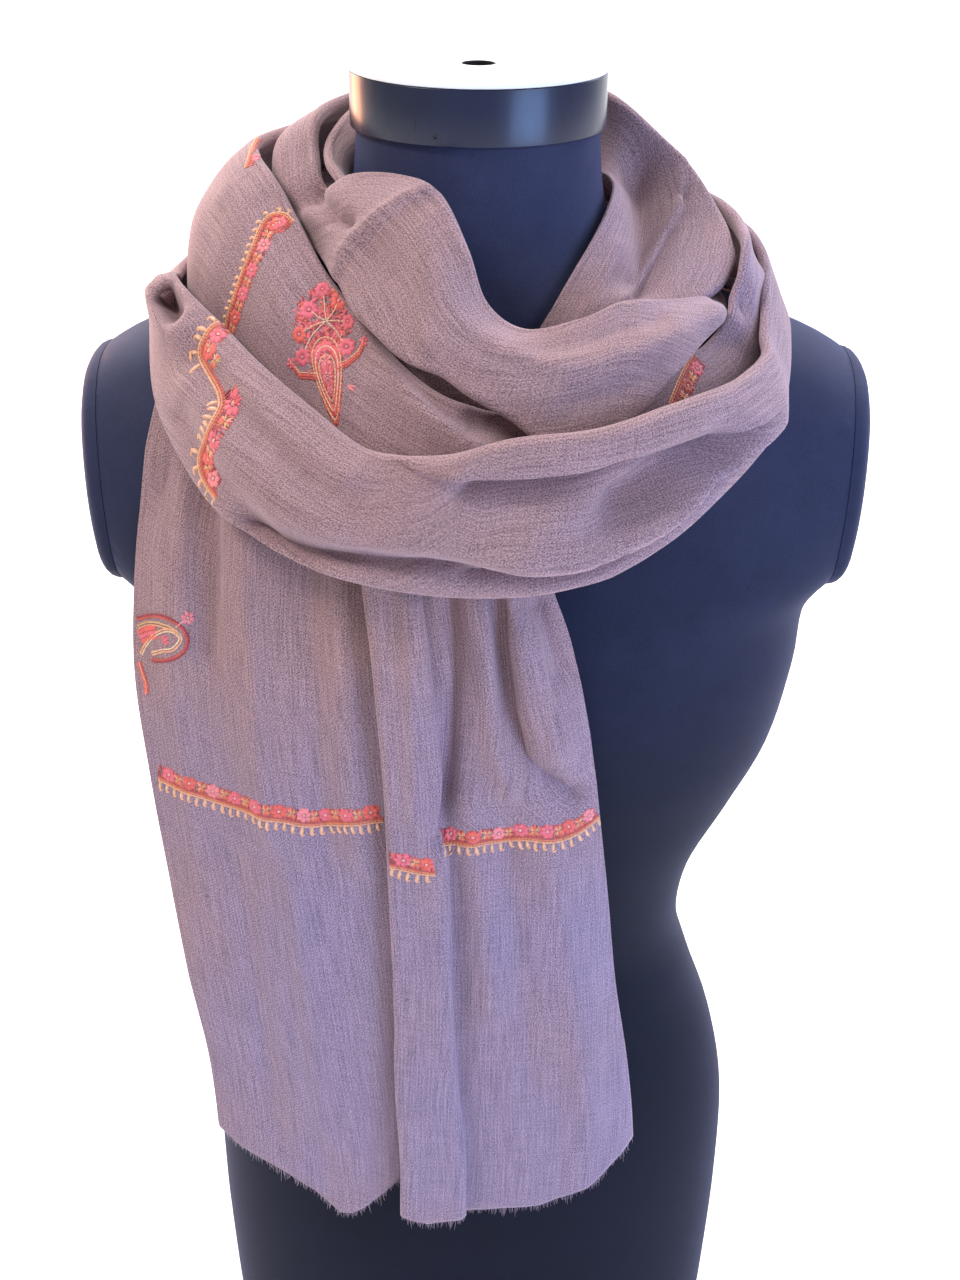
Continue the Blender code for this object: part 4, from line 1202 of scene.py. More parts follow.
# The height of a tail's top or hem at shares of the way from its left edge to its right.
LEFT_TOP = [(0.0, 651), (0.12, 644), (0.30, 632), (0.50, 617), (1.0, 604)]
LEFT_HEM = [
    (0.0, 257), (0.10, 246), (0.33, 234), (0.44, 226), (0.50, 219), (0.56, 213), (0.62, 214), (0.68, 219),
    (0.77, 229), (0.85, 240), (1.0, 246),
]
RIGHT_TOP = [(0.0, 606), (1.0, 606)]
RIGHT_HEM = [(0.0, 221), (0.10, 217), (0.33, 220), (0.59, 223), (0.80, 234), (1.0, 256)]

# Folds of a tail run down it: their place across and height at each end, in shares and millimetres.
TailFold = namedtuple("TailFold", "across_1 height_1 across_2 height_2 width depth")
LEFT_TAIL_FOLDS = table(
    TailFold,
    (0.24, 615, 0.26, 530, 9, -5), (0.62, 600, 0.60, 500, 12, -3), (0.45, 610, 0.42, 380, 14, 3),
)
RIGHT_TAIL_FOLDS = table(
    TailFold,
    (0.66, 605, 0.58, 470, 6, -5), (0.90, 605, 0.78, 480, 7, -6), (0.80, 610, 0.70, 500, 6, 4),
)

# Columns across a tail: the share of its width, and how far in front of the face the column lies. The right tail's
# first columns are turned behind it.
LEFT_COLUMNS = (0.0, 0.05, 0.11, 0.18, 0.25, 0.33, 0.39, 0.44, 0.50, 0.56, 0.62, 0.68, 0.77, 0.85, 1.0)
LEFT_LAYOUT = [(share, 0) for share in LEFT_COLUMNS]
RIGHT_LAYOUT = [
    (0.16, -5), (0.08, -5), (0.02, -4.6), (-0.01, -2.6), (0.02, -0.5), (0.08, 0), (0.15, 0), (0.22, 0), (0.25, -1.5),
    (0.26, -4), (0.25, -6.4), (0.28, -8), (0.36, -6), (0.44, -5), (0.52, -4), (0.58, -3), (0.64, -2), (0.70, -1),
    (0.76, 0), (0.82, 0), (0.88, -1), (0.94, -4), (1.0, -8),
]

print("rows:", len(LEFT_TAIL), len(RIGHT_TAIL), "columns:", len(LEFT_LAYOUT), len(RIGHT_LAYOUT))

# %% [markdown]
# ## The hanging ends' creases
# The gathers run into soft creases that follow the cloth down. They are given by their lines, as the loops' are.

# %% The hanging ends' creases
LEFT_CREASES = [
    Crease(7, -5.1, [(212, 470), (214, 560), (208, 650)]),
    Crease(8, 3.6, [(186, 480), (184, 560), (184, 640)]),
    Crease(8, 3.3, [(246, 540), (256, 680), (268, 830)]),
    Crease(8, -3.3, [(312, 560), (318, 700), (328, 850)]),
    Crease(8, 2.7, [(345, 590), (352, 720), (362, 860)]),
    Crease(10, 2.7, [(166, 560), (178, 720), (205, 900)]),
    Crease(9, -2.7, [(235, 860), (255, 1000), (270, 1120)]),
    Crease(10, 2.4, [(290, 880), (305, 1000), (318, 1120)]),
]
RIGHT_CREASES = [
    Crease(5, -6.0, [(450, 590), (452, 680), (446, 780), (442, 840)]),
    Crease(6, 3.6, [(410, 600), (412, 700), (415, 820)]),
    Crease(5, -7.5, [(497, 596), (503, 650), (510, 712), (526, 758), (550, 783), (578, 794)]),
    Crease(6, -5.1, [(538, 604), (548, 640), (556, 672)]),
    Crease(10, 6.0, [(528, 640), (540, 690), (556, 745)]),
    Crease(6, 4.5, [(482, 598), (488, 680), (494, 745), (510, 790)]),
    Crease(8, 3.6, [(470, 800), (482, 900), (494, 1010)]),
    Crease(9, -3.3, [(508, 850), (520, 960), (530, 1080)]),
    Crease(9, 3.0, [(556, 850), (572, 980), (588, 1110)]),
]
print("creases:", len(LEFT_CREASES), len(RIGHT_CREASES))

# %% [markdown]
# ## The hanging ends
# An end hangs from under the outer loop, gathered at its top and opening out towards its hem, so its folds are deep
# above and fade below. It is tucked behind the loop, laid before the form, and the right one is seated on the left.

# %% The hanging ends
TAIL_ROWS = 130
FOLD_FADE = 0.75
FOLD_RUN_OUT = 0.02
TUCK_FROM = 0.09
HEM_LIFTS = (0.0, 0.003, 0.006, 0.009)
TAIL_RIPPLE = (0.16, 0.020, 0.0016)
PROBE = (TAIL_ROWS // 2, -8)
BACKWARDS = Vector((0, 1, 0))
End = namedtuple("End", "side table top hem folds layout creases steps seed")
ENDS = [
    End("left", LEFT_TAIL, LEFT_TOP, LEFT_HEM, LEFT_TAIL_FOLDS, LEFT_LAYOUT, LEFT_CREASES, 7, 40.0),
    End("right", RIGHT_TAIL, RIGHT_TOP, RIGHT_HEM, RIGHT_TAIL_FOLDS, RIGHT_LAYOUT, RIGHT_CREASES, 6, 50.0),
]


def edge_height(edge, across):
    """The height of an end's top or hem at a share of its width."""
    shares, heights = zip(*edge)
    return np.interp(across, shares, heights) * MM


def tail_fold(folds, across, height, width):
    total = 0.0
    for fold in folds:
        share = min(max((fold.height_1 * MM - height) / ((fold.height_1 - fold.height_2) * MM), 0.0), 1.0)
        aside = (across - fold.across_1 - (fold.across_2 - fold.across_1) * share) * width
        past = max(fold.height_2 * MM - height, height - fold.height_1 * MM, 0.0)
        fade = 1.0 - FOLD_FADE * share
        total += fold.depth * MM * fade * math.exp(-(aside / (fold.width * MM)) ** 2 - (past / FOLD_RUN_OUT) ** 2)
    return total


def tail_points(end):
    count = (len(end.layout) - 1) * end.steps + 1
    columns = along_curve(end.layout, np.arange(count) / end.steps)
    heights = np.array([row.height for row in end.table], float) * MM
    points = np.zeros((TAIL_ROWS, count, 3))
    for column, (across, push) in enumerate(columns):
        inside = min(max(across, 0.0), 1.0)
        levels = np.linspace(edge_height(end.top, inside), edge_height(end.hem, inside), TAIL_ROWS)
        places = np.interp(-levels, -heights, np.arange(len(heights)))
        for row, (height, values) in enumerate(zip(levels, along_curve(end.table, places))):
            _, left, left_depth, right, right_depth, belly = values
            x = (left + (right - left) * across) * MM
            depth = (left_depth + (right_depth - left_depth) * across + belly * math.sin(math.pi * inside)) * MM
            depth += tail_fold(end.folds, across, height, (right - left) * MM)
            points[row, column] = (x, -depth - push * MM, height)
    return points


def tuck_inside(points, loop, gap):
    """Moves points in towards the neck until they are behind the loop that they hang from."""
    for point in points.reshape(-1, 3):
        reach = math.hypot(point[0], point[1])
        out = Vector((point[0], point[1], 0)) / reach
        room = reach
        for lift in HEM_LIFTS:
            hit = loop.ray_cast(Vector((0, 0, point[2] + lift)) + out * TUCK_FROM, out)[0]
            if hit is not None:
                room = min(room, math.hypot(hit.x, hit.y) - gap)
        point[:2] -= np.array(out[:2]) * (reach - room)


def lie_before(points, surface, gap):
    """Moves points forward until they are in front of the form."""
    for point in points.reshape(-1, 3):
        hit = surface.ray_cast(Vector((point[0], -1, point[2])), BACKWARDS)[0]
        if hit is not None and point[1] > hit.y - gap:
            point[1] = hit.y - gap


def seat_on(points, surface, gap):
    """Moves an end back until it hangs just in front of the cloth behind it."""
    room = 1.0
    for point in points.reshape(-1, 3):
        hit = surface.ray_cast(Vector(point), BACKWARDS)[0]
        if hit is not None:
            room = min(room, hit.y - point[1])
    points[..., 1] += room - gap


def hang_ends():
    loop = skin_of(cloths["shawl_outer_loop"])
    behind = None
    for end in ENDS:
        points = tail_points(end)
        tuck_inside(points, loop, ON_FORM)
        lie_before(points, form_skin, ON_FORM)
        if behind:
            seat_on(points, behind, ON_FORM + CLOTH_GAP)
        facing = unit(np.cross(np.gradient(points, axis=1), -np.gradient(points, axis=0)))
        if facing[PROBE][1] > 0:
            facing = -facing
        name = "shawl_" + end.side + "_end"
        stretch = Stretch(name, points, facing, run_along(points), run_along(points, axis=1), closed=False)
        stretch.fold_up(end.creases, TAIL_RIPPLE, end.seed)
        lie_before(stretch.points, form_skin, ON_FORM)
        behind = add_cloth(stretch)


hang_ends()
print("stretches:", sorted(stretches))

# %% [markdown]
# ## Embroidery: the thread
# The borders and flowers are worked by hand in silk, in reds, pinks and straw. Each stitch carries its own colour, a
# little lighter or darker than its neighbour's, so one finish does for every thread.

# %% Embroidery: the thread
THREADS = {
    "maroon": shade(166, 62, 70), "brick": shade(206, 90, 80), "coral": shade(240, 108, 96),
    "rose": shade(242, 116, 130), "pink": shade(248, 146, 150), "blush": shade(252, 184, 178),
    "orange": shade(238, 138, 94), "peach": shade(244, 180, 140), "cream": shade(246, 210, 174),
    "straw": shade(222, 176, 122),
}
THREAD_UNEVEN = (0.86, 1.1)
FIBRE_SCALE = 2600.0
FIBRE_TINTS = shade(210, 204, 204), shade(255, 255, 255)
THREAD_ROUGH = 0.42
FIBRE_ROUGH = 0.25
threads = random.Random(7)


def make_thread_finish():
    thread = Finish("embroidery_thread", roughness=0.5, sheen_weight=0.25, sheen_roughness=0.3)
    tint = thread.node("ShaderNodeAttribute", {"attribute_name": "thread"})
    fibre = thread.noise(thread.place, scale=FIBRE_SCALE)
    worn = thread.mix(fibre, *FIBRE_TINTS)
    thread.feed("Base Color", thread.mix(1.0, tint, worn, blend="MULTIPLY"))
    thread.feed("Roughness", THREAD_ROUGH + fibre * FIBRE_ROUGH)
    thread.bump(fibre, strength=0.5, distance=0.0002)
    return thread.material


thread_finish = make_thread_finish()
print("thread colours:", sorted(THREADS))

# %% [markdown]
# ## Embroidery: places on the cloth
# A motif is drawn flat and a border along a line, both in millimetres. Their places could be worked out on the
# unfolded cloth, but it is surer to drop each one onto the finished folds.

# %% Embroidery: places on the cloth
REACH = 0.012
TRAIL_STEPS = 16
TRAIL_SPAN = 6
JUST_INSIDE = 1e-7
SHORTEST_SPAN = 1e-9


def hit_on(skin, start, direction, reach=10.0):
    """Where a line meets a piece, and which way the piece faces there, or None."""
    hit, facing, _, _ = skin.ray_cast(start, direction, reach)
    return None if hit is None else (hit, facing)


def seen_on(skin, px, py):
    return hit_on(skin, CAMERA_PLACE, sight_line(px, py))


def dropped(skin, point, facing):
    return hit_on(skin, point + facing * REACH, -facing, 2 * REACH)


def patch(skin, centre_pixel, top_pixel):
    """A flat drawing's places, dropped onto the cloth. Its middle and its upright are given as they are seen."""
    centre, facing = seen_on(skin, *centre_pixel)
    top = seen_on(skin, *top_pixel)[0]
    up = (top - centre) - facing * (top - centre).dot(facing)
    up.normalize()
    aside = up.cross(facing)
    return lambda x, y: dropped(skin, centre + aside * x * MM + up * y * MM, facing)


def trail(skin, pixels):
    """Places along a line on the cloth, and how long the line is, in millimetres. Above it is its left-hand side."""
    found = [place for place in (seen_on(skin, *pixel) for pixel in pixels) if place is not None]
    rows = [[*point, *facing] for point, facing in found]
    points, facings = [], []
    for row in along_curve(rows, np.arange((len(rows) - 1) * TRAIL_STEPS + 1) / TRAIL_STEPS):
        facing = Vector(row[3:]).normalized()
        place = dropped(skin, Vector(row[:3]), facing)
        if place is not None:
            points.append(place[0])
            facings.append(facing)
    lengths = np.concatenate([[0.0], np.cumsum([(b - a).length for a, b in zip(points, points[1:])])])

    def place(x, y):
        where = min(max(x * MM, 0.0), lengths[-1] - JUST_INSIDE)
        index = int(np.searchsorted(lengths, where, side="right")) - 1
        index = min(max(index, 0), len(points) - 2)
        span = max(lengths[index + 1] - lengths[index], SHORTEST_SPAN)
        share = (where - lengths[index]) / span
        point = points[index].lerp(points[index + 1], share)
        facing = facings[index].lerp(facings[index + 1], share).normalized()
        low, high = max(index - TRAIL_SPAN, 0), min(index + TRAIL_SPAN + 1, len(points) - 1)
        run = (points[high] - points[low]).normalized()
        side = facing.cross(run).normalized()
        return dropped(skin, point + side * y * MM, facing)

    return place, lengths[-1] / MM


def off(x, y, angle, far):
    """A place at a distance from another, in a direction."""
    return x + math.cos(angle) * far, y + math.sin(angle) * far


print("a place 1 above the middle:", [round(part, 3) for part in off(0, 0, math.pi / 2, 1)])

# %% [markdown]
# ## Embroidery: the stitches
# Short satin stitches fill a petal, and chains of stitches draw the lines. A painted pattern would lie flat, so each
# stitch is a small rounded body of thread on the cloth. One stitch is shaped once and laid down thousands of times.

# %% Embroidery: the stitches
# How high each kind of stitch stands.
CHAIN_HIGH, PETAL_HIGH, HEART_HIGH, LEAF_HIGH, SATIN_HIGH, GROUND_HIGH = 0.5, 0.55, 0.8, 0.5, 0.32, 0.3
CHAIN_STEP = 1.7
CHAIN_OVERLAP = 0.35
# The stitches of a petal: the way each leans, and how far it reaches in the flower's radius.
PETAL = [(-0.26, 0.86), (0.0, 1.0), (0.26, 0.86)]
PETAL_START = 0.18
PETAL_WIDTH = 0.34
HEART_STITCHES = 3
HEART_REACH = 0.24
HEART_WIDTH = 0.2
LEAF_LEANS = (-0.22, 0.22)
LEAF_WIDTH = 0.3
# Each ring of a stitch: its share of the length, and of the width and height there.
STITCH_RINGS = [(0.16, 0.72, 0.72), (0.5, 1.0, 1.0), (0.84, 0.72, 0.72)]
STITCH_CORNERS = [(-0.5, -0.35), (-0.28, 0.8), (0.28, 0.8), (0.5, -0.35)]
LONGEST_STITCH = 0.012
SINK = 0.00006
trimmings = {}


def loose_piece(name, points, faces, finish, stands_on, *nodes):
    """A piece of many small closed bodies, which is sewn to a cloth."""
    mesh = bpy.data.meshes.new(name)
    mesh.from_pydata(points, [], faces)
    made = bpy.data.objects.new(name, mesh)
    bpy.context.scene.collection.objects.link(made)
    edit(made)
    tidy_normals()
    done()
    smooth(made)
    finish_piece(made, finish, "shawl", *nodes)
    trimmings.setdefault(stands_on, []).append(made)
    return made


class Embroidery:
    """Stitches gathered for one piece. Places are in millimetres on a patch or a trail."""

    def __init__(self, name):
        self.name = name
        self.rows = []

    def stitch(self, place, start, end, width, colour, height):
        first, last = place(*start), place(*end)
        if first is None or last is None or (first[0] - last[0]).length > LONGEST_STITCH:
            return
        glow = threads.uniform(*THREAD_UNEVEN)
        tint = [part * glow for part in THREADS[colour][:3]]
        facing = (first[1] + last[1]).normalized()
        self.rows.append((*first[0], *last[0], *facing, width * MM, height * MM, *tint))

    def chain(self, place, line, width, colour, height=CHAIN_HIGH):
        """A line of chain stitches through places."""
        for (x1, y1), (x2, y2) in zip(line, line[1:]):
            count = max(1, round(math.hypot(x2 - x1, y2 - y1) / CHAIN_STEP))
            for k in range(count):
                a, b = k / count, (k + 1 + CHAIN_OVERLAP) / count
                start = (x1 + (x2 - x1) * a, y1 + (y2 - y1) * a)
                end = (x1 + (x2 - x1) * b, y1 + (y2 - y1) * b)
                self.stitch(place, start, end, width, colour, height)

    def flower(self, place, x, y, radius, colour, petals=6, heart="peach"):
        turn = threads.uniform(0, math.tau)
        for petal in range(petals):
            middle = turn + math.tau * petal / petals
            for lean, far in PETAL:
                inner, outer = off(x, y, middle, radius * PETAL_START), off(x, y, middle + lean, radius * far)
                self.stitch(place, inner, outer, radius * PETAL_WIDTH, colour, PETAL_HIGH)
        away = radius * HEART_REACH
        for k in range(HEART_STITCHES):
            angle = turn + math.pi * k / HEART_STITCHES
            ends = off(x, y, angle, -away), off(x, y, angle, away)
            self.stitch(place, *ends, radius * HEART_WIDTH, heart, HEART_HIGH)

    def leaf(self, place, x, y, angle, length, colour):
        for lean in LEAF_LEANS:
            end = off(x, y, angle + lean, length)
            self.stitch(place, (x, y), end, length * LEAF_WIDTH, colour, LEAF_HIGH)

    def satin(self, place, left, right, width, colours):
        """Satin stitches between two lines that have as many places as each other."""
        for start, end in zip(left, right):
            self.stitch(place, start, end, width, threads.choice(colours), SATIN_HIGH)

    def piece(self, stands_on):
        data = np.array(self.rows)
        first, last, facing = data[:, 0:3], data[:, 3:6], data[:, 6:9]
        width, height, tint = data[:, 9:10], data[:, 10:11], data[:, 11:14]
        run = last - first
        side = unit(np.cross(run, facing))
        up = unit(np.cross(side, run))
        corners = [first - up * SINK]
        for along, wide, tall in STITCH_RINGS:
            for across, lift in STITCH_CORNERS:
                corners.append(first + run * along + side * width * wide * across + up * height * tall * lift)
        corners.append(last - up * SINK)
        each = len(corners)
        sides = len(STITCH_CORNERS)
        faces = []
        for k in range(sides):
            beside = (k + 1) % sides
            faces.append((0, 1 + beside, 1 + k))
            for low in (1, 1 + sides):
                faces.append((low + k, low + beside, low + sides + beside, low + sides + k))
            faces.append((each - 1, each - 1 - sides + k, each - 1 - sides + beside))
        points = np.stack(corners, axis=1).reshape(-1, 3)
        every = [tuple(index + each * stitch for index in face) for stitch in range(len(data)) for face in faces]
        made = loose_piece(self.name, points.tolist(), every, thread_finish, stands_on)
        tints = np.repeat(np.hstack([tint, np.ones_like(width)]), each, axis=0)
        made.data.color_attributes.new("thread", "FLOAT_COLOR", "POINT").data.foreach_set("color", tints.ravel())
        print(self.name, len(data), "stitches")


print("corners in a stitch:", len(STITCH_RINGS) * len(STITCH_CORNERS) + 2)

# %% [markdown]
# ## Embroidery: the borders
# A border has a row of small flowers with leaves between them, on a ground of dark red stitches. Under it run a coral
# and a peach line, and from those hangs a row of little teeth. It crosses the whole shawl near each end, so it shows
# on both ends and again where the loops bring it round.

# %% Embroidery: the borders' tables
GROUND_PITCH = 0.85
GROUND_WIDTH = 0.95
GROUND_LEAN = 0.7
# The ground's two rows of stitches: where each starts and ends, and how much the upper row's ends vary.
GROUND_LOWER, GROUND_UPPER, GROUND_VARIES = (0.3, 3.4), (3.0, 6.0), (-0.4, 0.5)
FLOWER_ROW = 3.3
FLOWER_PITCH = 9.6
FLOWER_ROOM = 0.3
FLOWER_RADIUS = (3.2, 3.7)
FLOWER_VARIES = (-0.2, 0.4)
TOOTH_START = 0.4
TOOTH_PITCH = 3.4
TOOTH_DEPTH = 3.6
TOOTH_TOP = 1.3
DEPTH_VARIES = (-0.5, 0.6)
TIP_VARIES = (-0.4, 0.4)
# The two long stitches of a tooth: how far down each starts, how much of the depth it reaches, its width, its thread,
# and its height. The hook at the tip starts before it and runs aside and up.
TOOTH_STITCHES = [(1.2, 1.0, 1.8, "peach", 0.5), (1.6, 0.84, 0.7, "cream", 0.85)]
BARB_START, BARB_ASIDE, BARB_UP, BARB_HIGH = 0.3, 1.3, 0.7, 0.45
LEAF_LENGTH = 2.5
SPRIG_VARIES = (-0.2, 0.2)
# The leaves between two flowers: the way each points, and its thread.
SPRIG = [(0.8, "straw"), (1.6, "coral"), (2.3, "peach"), (-0.8, "orange"), (-1.6, "coral"), (-2.3, "straw")]
# The lines under the flowers: how high each lies, and its thread.
LINES = [(0.6, "brick"), (-0.3, "orange"), (-1.2, "peach")]
# The darker threads are painted shade, for a border that lies in the shadow under another loop.
SHADED_GROUND, PALE_GROUND = ["maroon", "maroon", "brick"], ["maroon", "brick", "brick", "coral"]
SHADED_PETALS, PALE_PETALS = ["rose", "brick"], ["rose", "coral", "pink", "rose"]
# Each border: its stretch, its line as it is seen, its size, how deep its teeth are, whether its thread is painted
# darker as shade, and the shares of its length between which only the lines show.
Border = namedtuple("Border", "name cloth line size teeth dark bare", defaults=[False, (1.0, 1.0)])
BORDERS = [
    Border("border_left_end", "shawl_left_end",
           [(158, 777), (176, 786), (194, 793), (226, 803), (253, 813), (279, 819), (316, 824), (353, 823),
            (384, 819)], 1.25, 1.0),
    Border("border_right_pleat", "shawl_right_end",
           [(389, 865), (400, 867), (412, 870), (424, 872), (436, 873)], 1.25, 1.0),
    Border("border_right_end", "shawl_right_end",
           [(442, 843), (464, 844), (484, 842), (505, 839), (528, 838), (545, 840), (562, 838), (580, 830),
            (599, 815)], 1.25, 1.0),
    Border("border_middle_left", "shawl_middle_loop",
           [(292, 224), (284, 216), (272, 216), (262, 228), (254, 248), (244, 273), (235, 299), (228, 322),
            (226, 338)], 1.2, 0.6),
    Border("border_outer_loop", "shawl_outer_loop",
           [(234, 323), (222, 324), (213, 328), (206, 338), (201, 352), (205, 362), (213, 376), (221, 391),
            (223, 404), (219, 414), (210, 431), (203, 450), (201, 468), (207, 483), (217, 497)],
           1.55, 0.9, bare=(0.25, 0.45)),
    # Painted shade: this border lies under the inner loop's hem, so its thread is painted darker.
    Border("border_middle_right", "shawl_middle_loop",
           [(703, 338), (694, 355), (685, 372), (677, 390), (671, 406)], 1.25, 0.0, True),
    Border("border_middle_back", "shawl_middle_loop", [(259, 138), (254, 148), (250, 158), (247, 168)], 1.2, 0.0),
]
print("borders:", [border.name for border in BORDERS])

# %% [markdown]
# ## Embroidery: sewing the borders
# The ground is sewn first, then the flowers and leaves, the lines and the teeth, because each lies on the one before.

# %% Embroidery: sewing the borders
def sew_tooth(work, place, x, size, teeth):
    """One hooked tooth: a broad stitch, a pale one on it, and a short one across its tip."""
    deep = -(TOOTH_TOP + (TOOTH_DEPTH + threads.uniform(*DEPTH_VARIES)) * teeth) * size
    tip = x + threads.uniform(*TIP_VARIES)
    for top, share, width, colour, height in TOOTH_STITCHES:
        work.stitch(place, (x, -top * size), (tip, deep * share), width * size, colour, height)
    barb = (tip + BARB_ASIDE * size, deep + BARB_UP * size)
    work.stitch(place, (tip - BARB_START, deep), barb, size, "peach", BARB_HIGH)


def draw_border(work, place, length, border):
    size = border.size
    # A border in shade takes the darker threads, as painted shade.
    ground = SHADED_GROUND if border.dark else PALE_GROUND
    petals = SHADED_PETALS if border.dark else PALE_PETALS

    def shows(x):
        return not border.bare[0] < x / length < border.bare[1]

    for x in np.arange(int(length / (GROUND_PITCH * size))) * GROUND_PITCH * size:
        if shows(x):
            top = GROUND_UPPER[1] + threads.uniform(*GROUND_VARIES)
            for low, high in (GROUND_LOWER, (GROUND_UPPER[0], top)):
                lean = threads.uniform(-GROUND_LEAN, GROUND_LEAN)
                ends = (x, low * size), (x + lean * size, high * size)
                work.stitch(place, *ends, GROUND_WIDTH * size, threads.choice(ground), GROUND_HIGH)
    pitch = FLOWER_PITCH * size
    for k in range(int(length / pitch) + 1):
        x = (k + 0.5) * pitch
        if x <= length - FLOWER_ROOM * pitch and shows(x):
            y = (FLOWER_ROW + threads.uniform(*FLOWER_VARIES)) * size
            radius = threads.uniform(*FLOWER_RADIUS) * size
            work.flower(place, x, y, radius, petals[k % len(petals)], petals=7, heart="blush")
            between = x + pitch / 2
            if between < length - size:
                for angle, colour in SPRIG:
                    turn = angle + threads.uniform(*SPRIG_VARIES)
                    work.leaf(place, between, FLOWER_ROW * size, turn, LEAF_LENGTH * size, colour)
    for y, colour in LINES:
        work.chain(place, [(0, y * size), (length, y * size)], size, colour)
    for k in range(int(length / (TOOTH_PITCH * size)) + 1):
        x = (k + TOOTH_START) * TOOTH_PITCH * size
        if border.teeth and x <= length and shows(x):
            sew_tooth(work, place, x, size, border.teeth)


skins = {name: skin_of(piece) for name, piece in cloths.items()}
for border in BORDERS:
    place, length = trail(skins[border.cloth], border.line)
    work = Embroidery(border.name)
    draw_border(work, place, length, border)
    work.piece(border.cloth)
print("borders sewn:", len(BORDERS))

# %% [markdown]
# ## Embroidery: the paisley
# A paisley is a bent drop with a crown of flowers. It is drawn flat, in millimetres, from its own middle: a double
# outline, satin stitches between the lines, small flowers inside, stems that fan out to larger ones, and two arms.

# %% Embroidery: the paisley
DROP_HALF_HEIGHT = 19.0
DROP_WIDTH = 8.8
DROP_TIP_WIDTH = 0.35
DROP_STEPS = 36
# The drop's bands of satin, from its edge inwards: the sizes between which each lies, its stitches, and its threads.
SATIN = [(1.16, 0.98, 110, 1.2, ["brick", "maroon", "coral"]), (0.94, 0.62, 90, 1.2, ["coral", "rose", "coral"]),
         (0.50, 0.12, 50, 1.3, ["rose", "brick"])]
OUTLINES = [(1.0, 1.1, "peach"), (0.78, 0.9, "cream"), (0.56, 1.0, "peach")]
# The flowers of the crown and of the drop: the place and radius of each.
CROWN = [(-11.2, 12.5, 4.6), (-10.4, 22.6, 4.1), (-4.8, 32.8, 4.6), (1.6, 41.4, 4.1), (8.4, 34.2, 4.9),
         (11.4, 23.9, 3.9), (9.6, 12.4, 4.8)]
HEARTS = [(0.0, -5.5, 1.9), (0.0, 1.0, 2.4), (0.0, 8.0, 3.2)]
CROWN_MIDDLE = 24.5
CROWN_HALF = (11.5, 17.5)
STEMS_START = (1.6, 26.4)
STEM_BENDS = [(0.0, 0.0), (0.45, 0.35), (0.8, 0.78)]
GROUND_STITCHES = 520
GROUND_LENGTH = 2.6
CROWN_GROUND_WIDTH = 1.15
CROWN_GROUND_HIGH = 0.28
GROUND_THREADS = ["maroon", "brick", "coral", "rose"]
CROWN_PETALS = ["rose", "coral", "rose"]
STEM_WIDTH = 0.8
STEM_HIGH = 0.8
ARM_FLOWER = 2.8
ARM_LEAF = 3.0
# A single leaf beside the drop: its place, its direction and its length.
SIDE_LEAF = (8.0, -5.0, -0.7, 5.0)
ARMS = [[(-5.0, 2.0), (-9.3, 3.6), (-14.6, 5.4), (-18.0, 11.6)], [(4.5, 4.4), (9.3, 4.8), (14.6, 8.0), (17.9, 13.0)]]
# Each line of an arm: how far above the arm it lies, its width, and its thread.
ARM_LINES = [(-1.3, 1.7, "brick"), (0.0, 1.7, "coral"), (1.2, 0.9, "peach")]


def drop_line(size, count=DROP_STEPS):
    """A drop with its tip below. At size 1 it has its full height and width."""
    line = []
    for k in range(count + 1):
        turn = math.tau * k / count
        full = DROP_TIP_WIDTH + (1 - DROP_TIP_WIDTH) * (1 - math.cos(turn)) / 2
        line.append((DROP_WIDTH * math.sin(turn) * full * size, -DROP_HALF_HEIGHT * math.cos(turn) * size))
    return line


def draw_paisley(work, place):
    for _ in range(GROUND_STITCHES):
        angle, far = threads.uniform(0, math.tau), math.sqrt(threads.random())
        x, y = math.cos(angle) * far * CROWN_HALF[0], CROWN_MIDDLE + math.sin(angle) * far * CROWN_HALF[1]
        end = off(x, y, threads.uniform(0, math.pi), GROUND_LENGTH)
        work.stitch(place, (x, y), end, CROWN_GROUND_WIDTH, threads.choice(GROUND_THREADS), CROWN_GROUND_HIGH)
    for outer, inner, count, width, colours in SATIN:
        work.satin(place, drop_line(outer, count), drop_line(inner, count), width, colours)
    for size, width, colour in OUTLINES:
        work.chain(place, drop_line(size), width, colour)
    for k, (x, y, radius) in enumerate(CROWN):
        work.flower(place, x, y, radius, CROWN_PETALS[k % len(CROWN_PETALS)], petals=8, heart="pink")
    left, top = STEMS_START
    for x, y, _ in CROWN:
        bent = [(left + (x - left) * aside, top + (y - top) * above) for aside, above in STEM_BENDS]
        work.chain(place, bent, STEM_WIDTH, "cream", STEM_HIGH)
    for x, y, radius in HEARTS:
        work.flower(place, x, y, radius, "pink", petals=5)
    for arm in ARMS:
        for shift, width, colour in ARM_LINES:
            work.chain(place, [(x, y + shift) for x, y in arm], width, colour)
        work.flower(place, *arm[-1], ARM_FLOWER, "rose", petals=5, heart="pink")
        work.leaf(place, *arm[1], math.pi / 2, ARM_LEAF, "rose")
    work.leaf(place, *SIDE_LEAF, "pink")


work = Embroidery("paisley_middle")
draw_paisley(work, patch(skins["shawl_middle_loop"], (328, 378), (323, 330)))
work.piece("shawl_middle_loop")
print("flowers in the crown:", len(CROWN))

# %% [markdown]
# ## Embroidery: the turned paisley
# At the edge of the left end one more paisley turns out of sight. Only its hooked head, a leaf and two flowers show,
# so only they are sewn, along lines on the cloth.

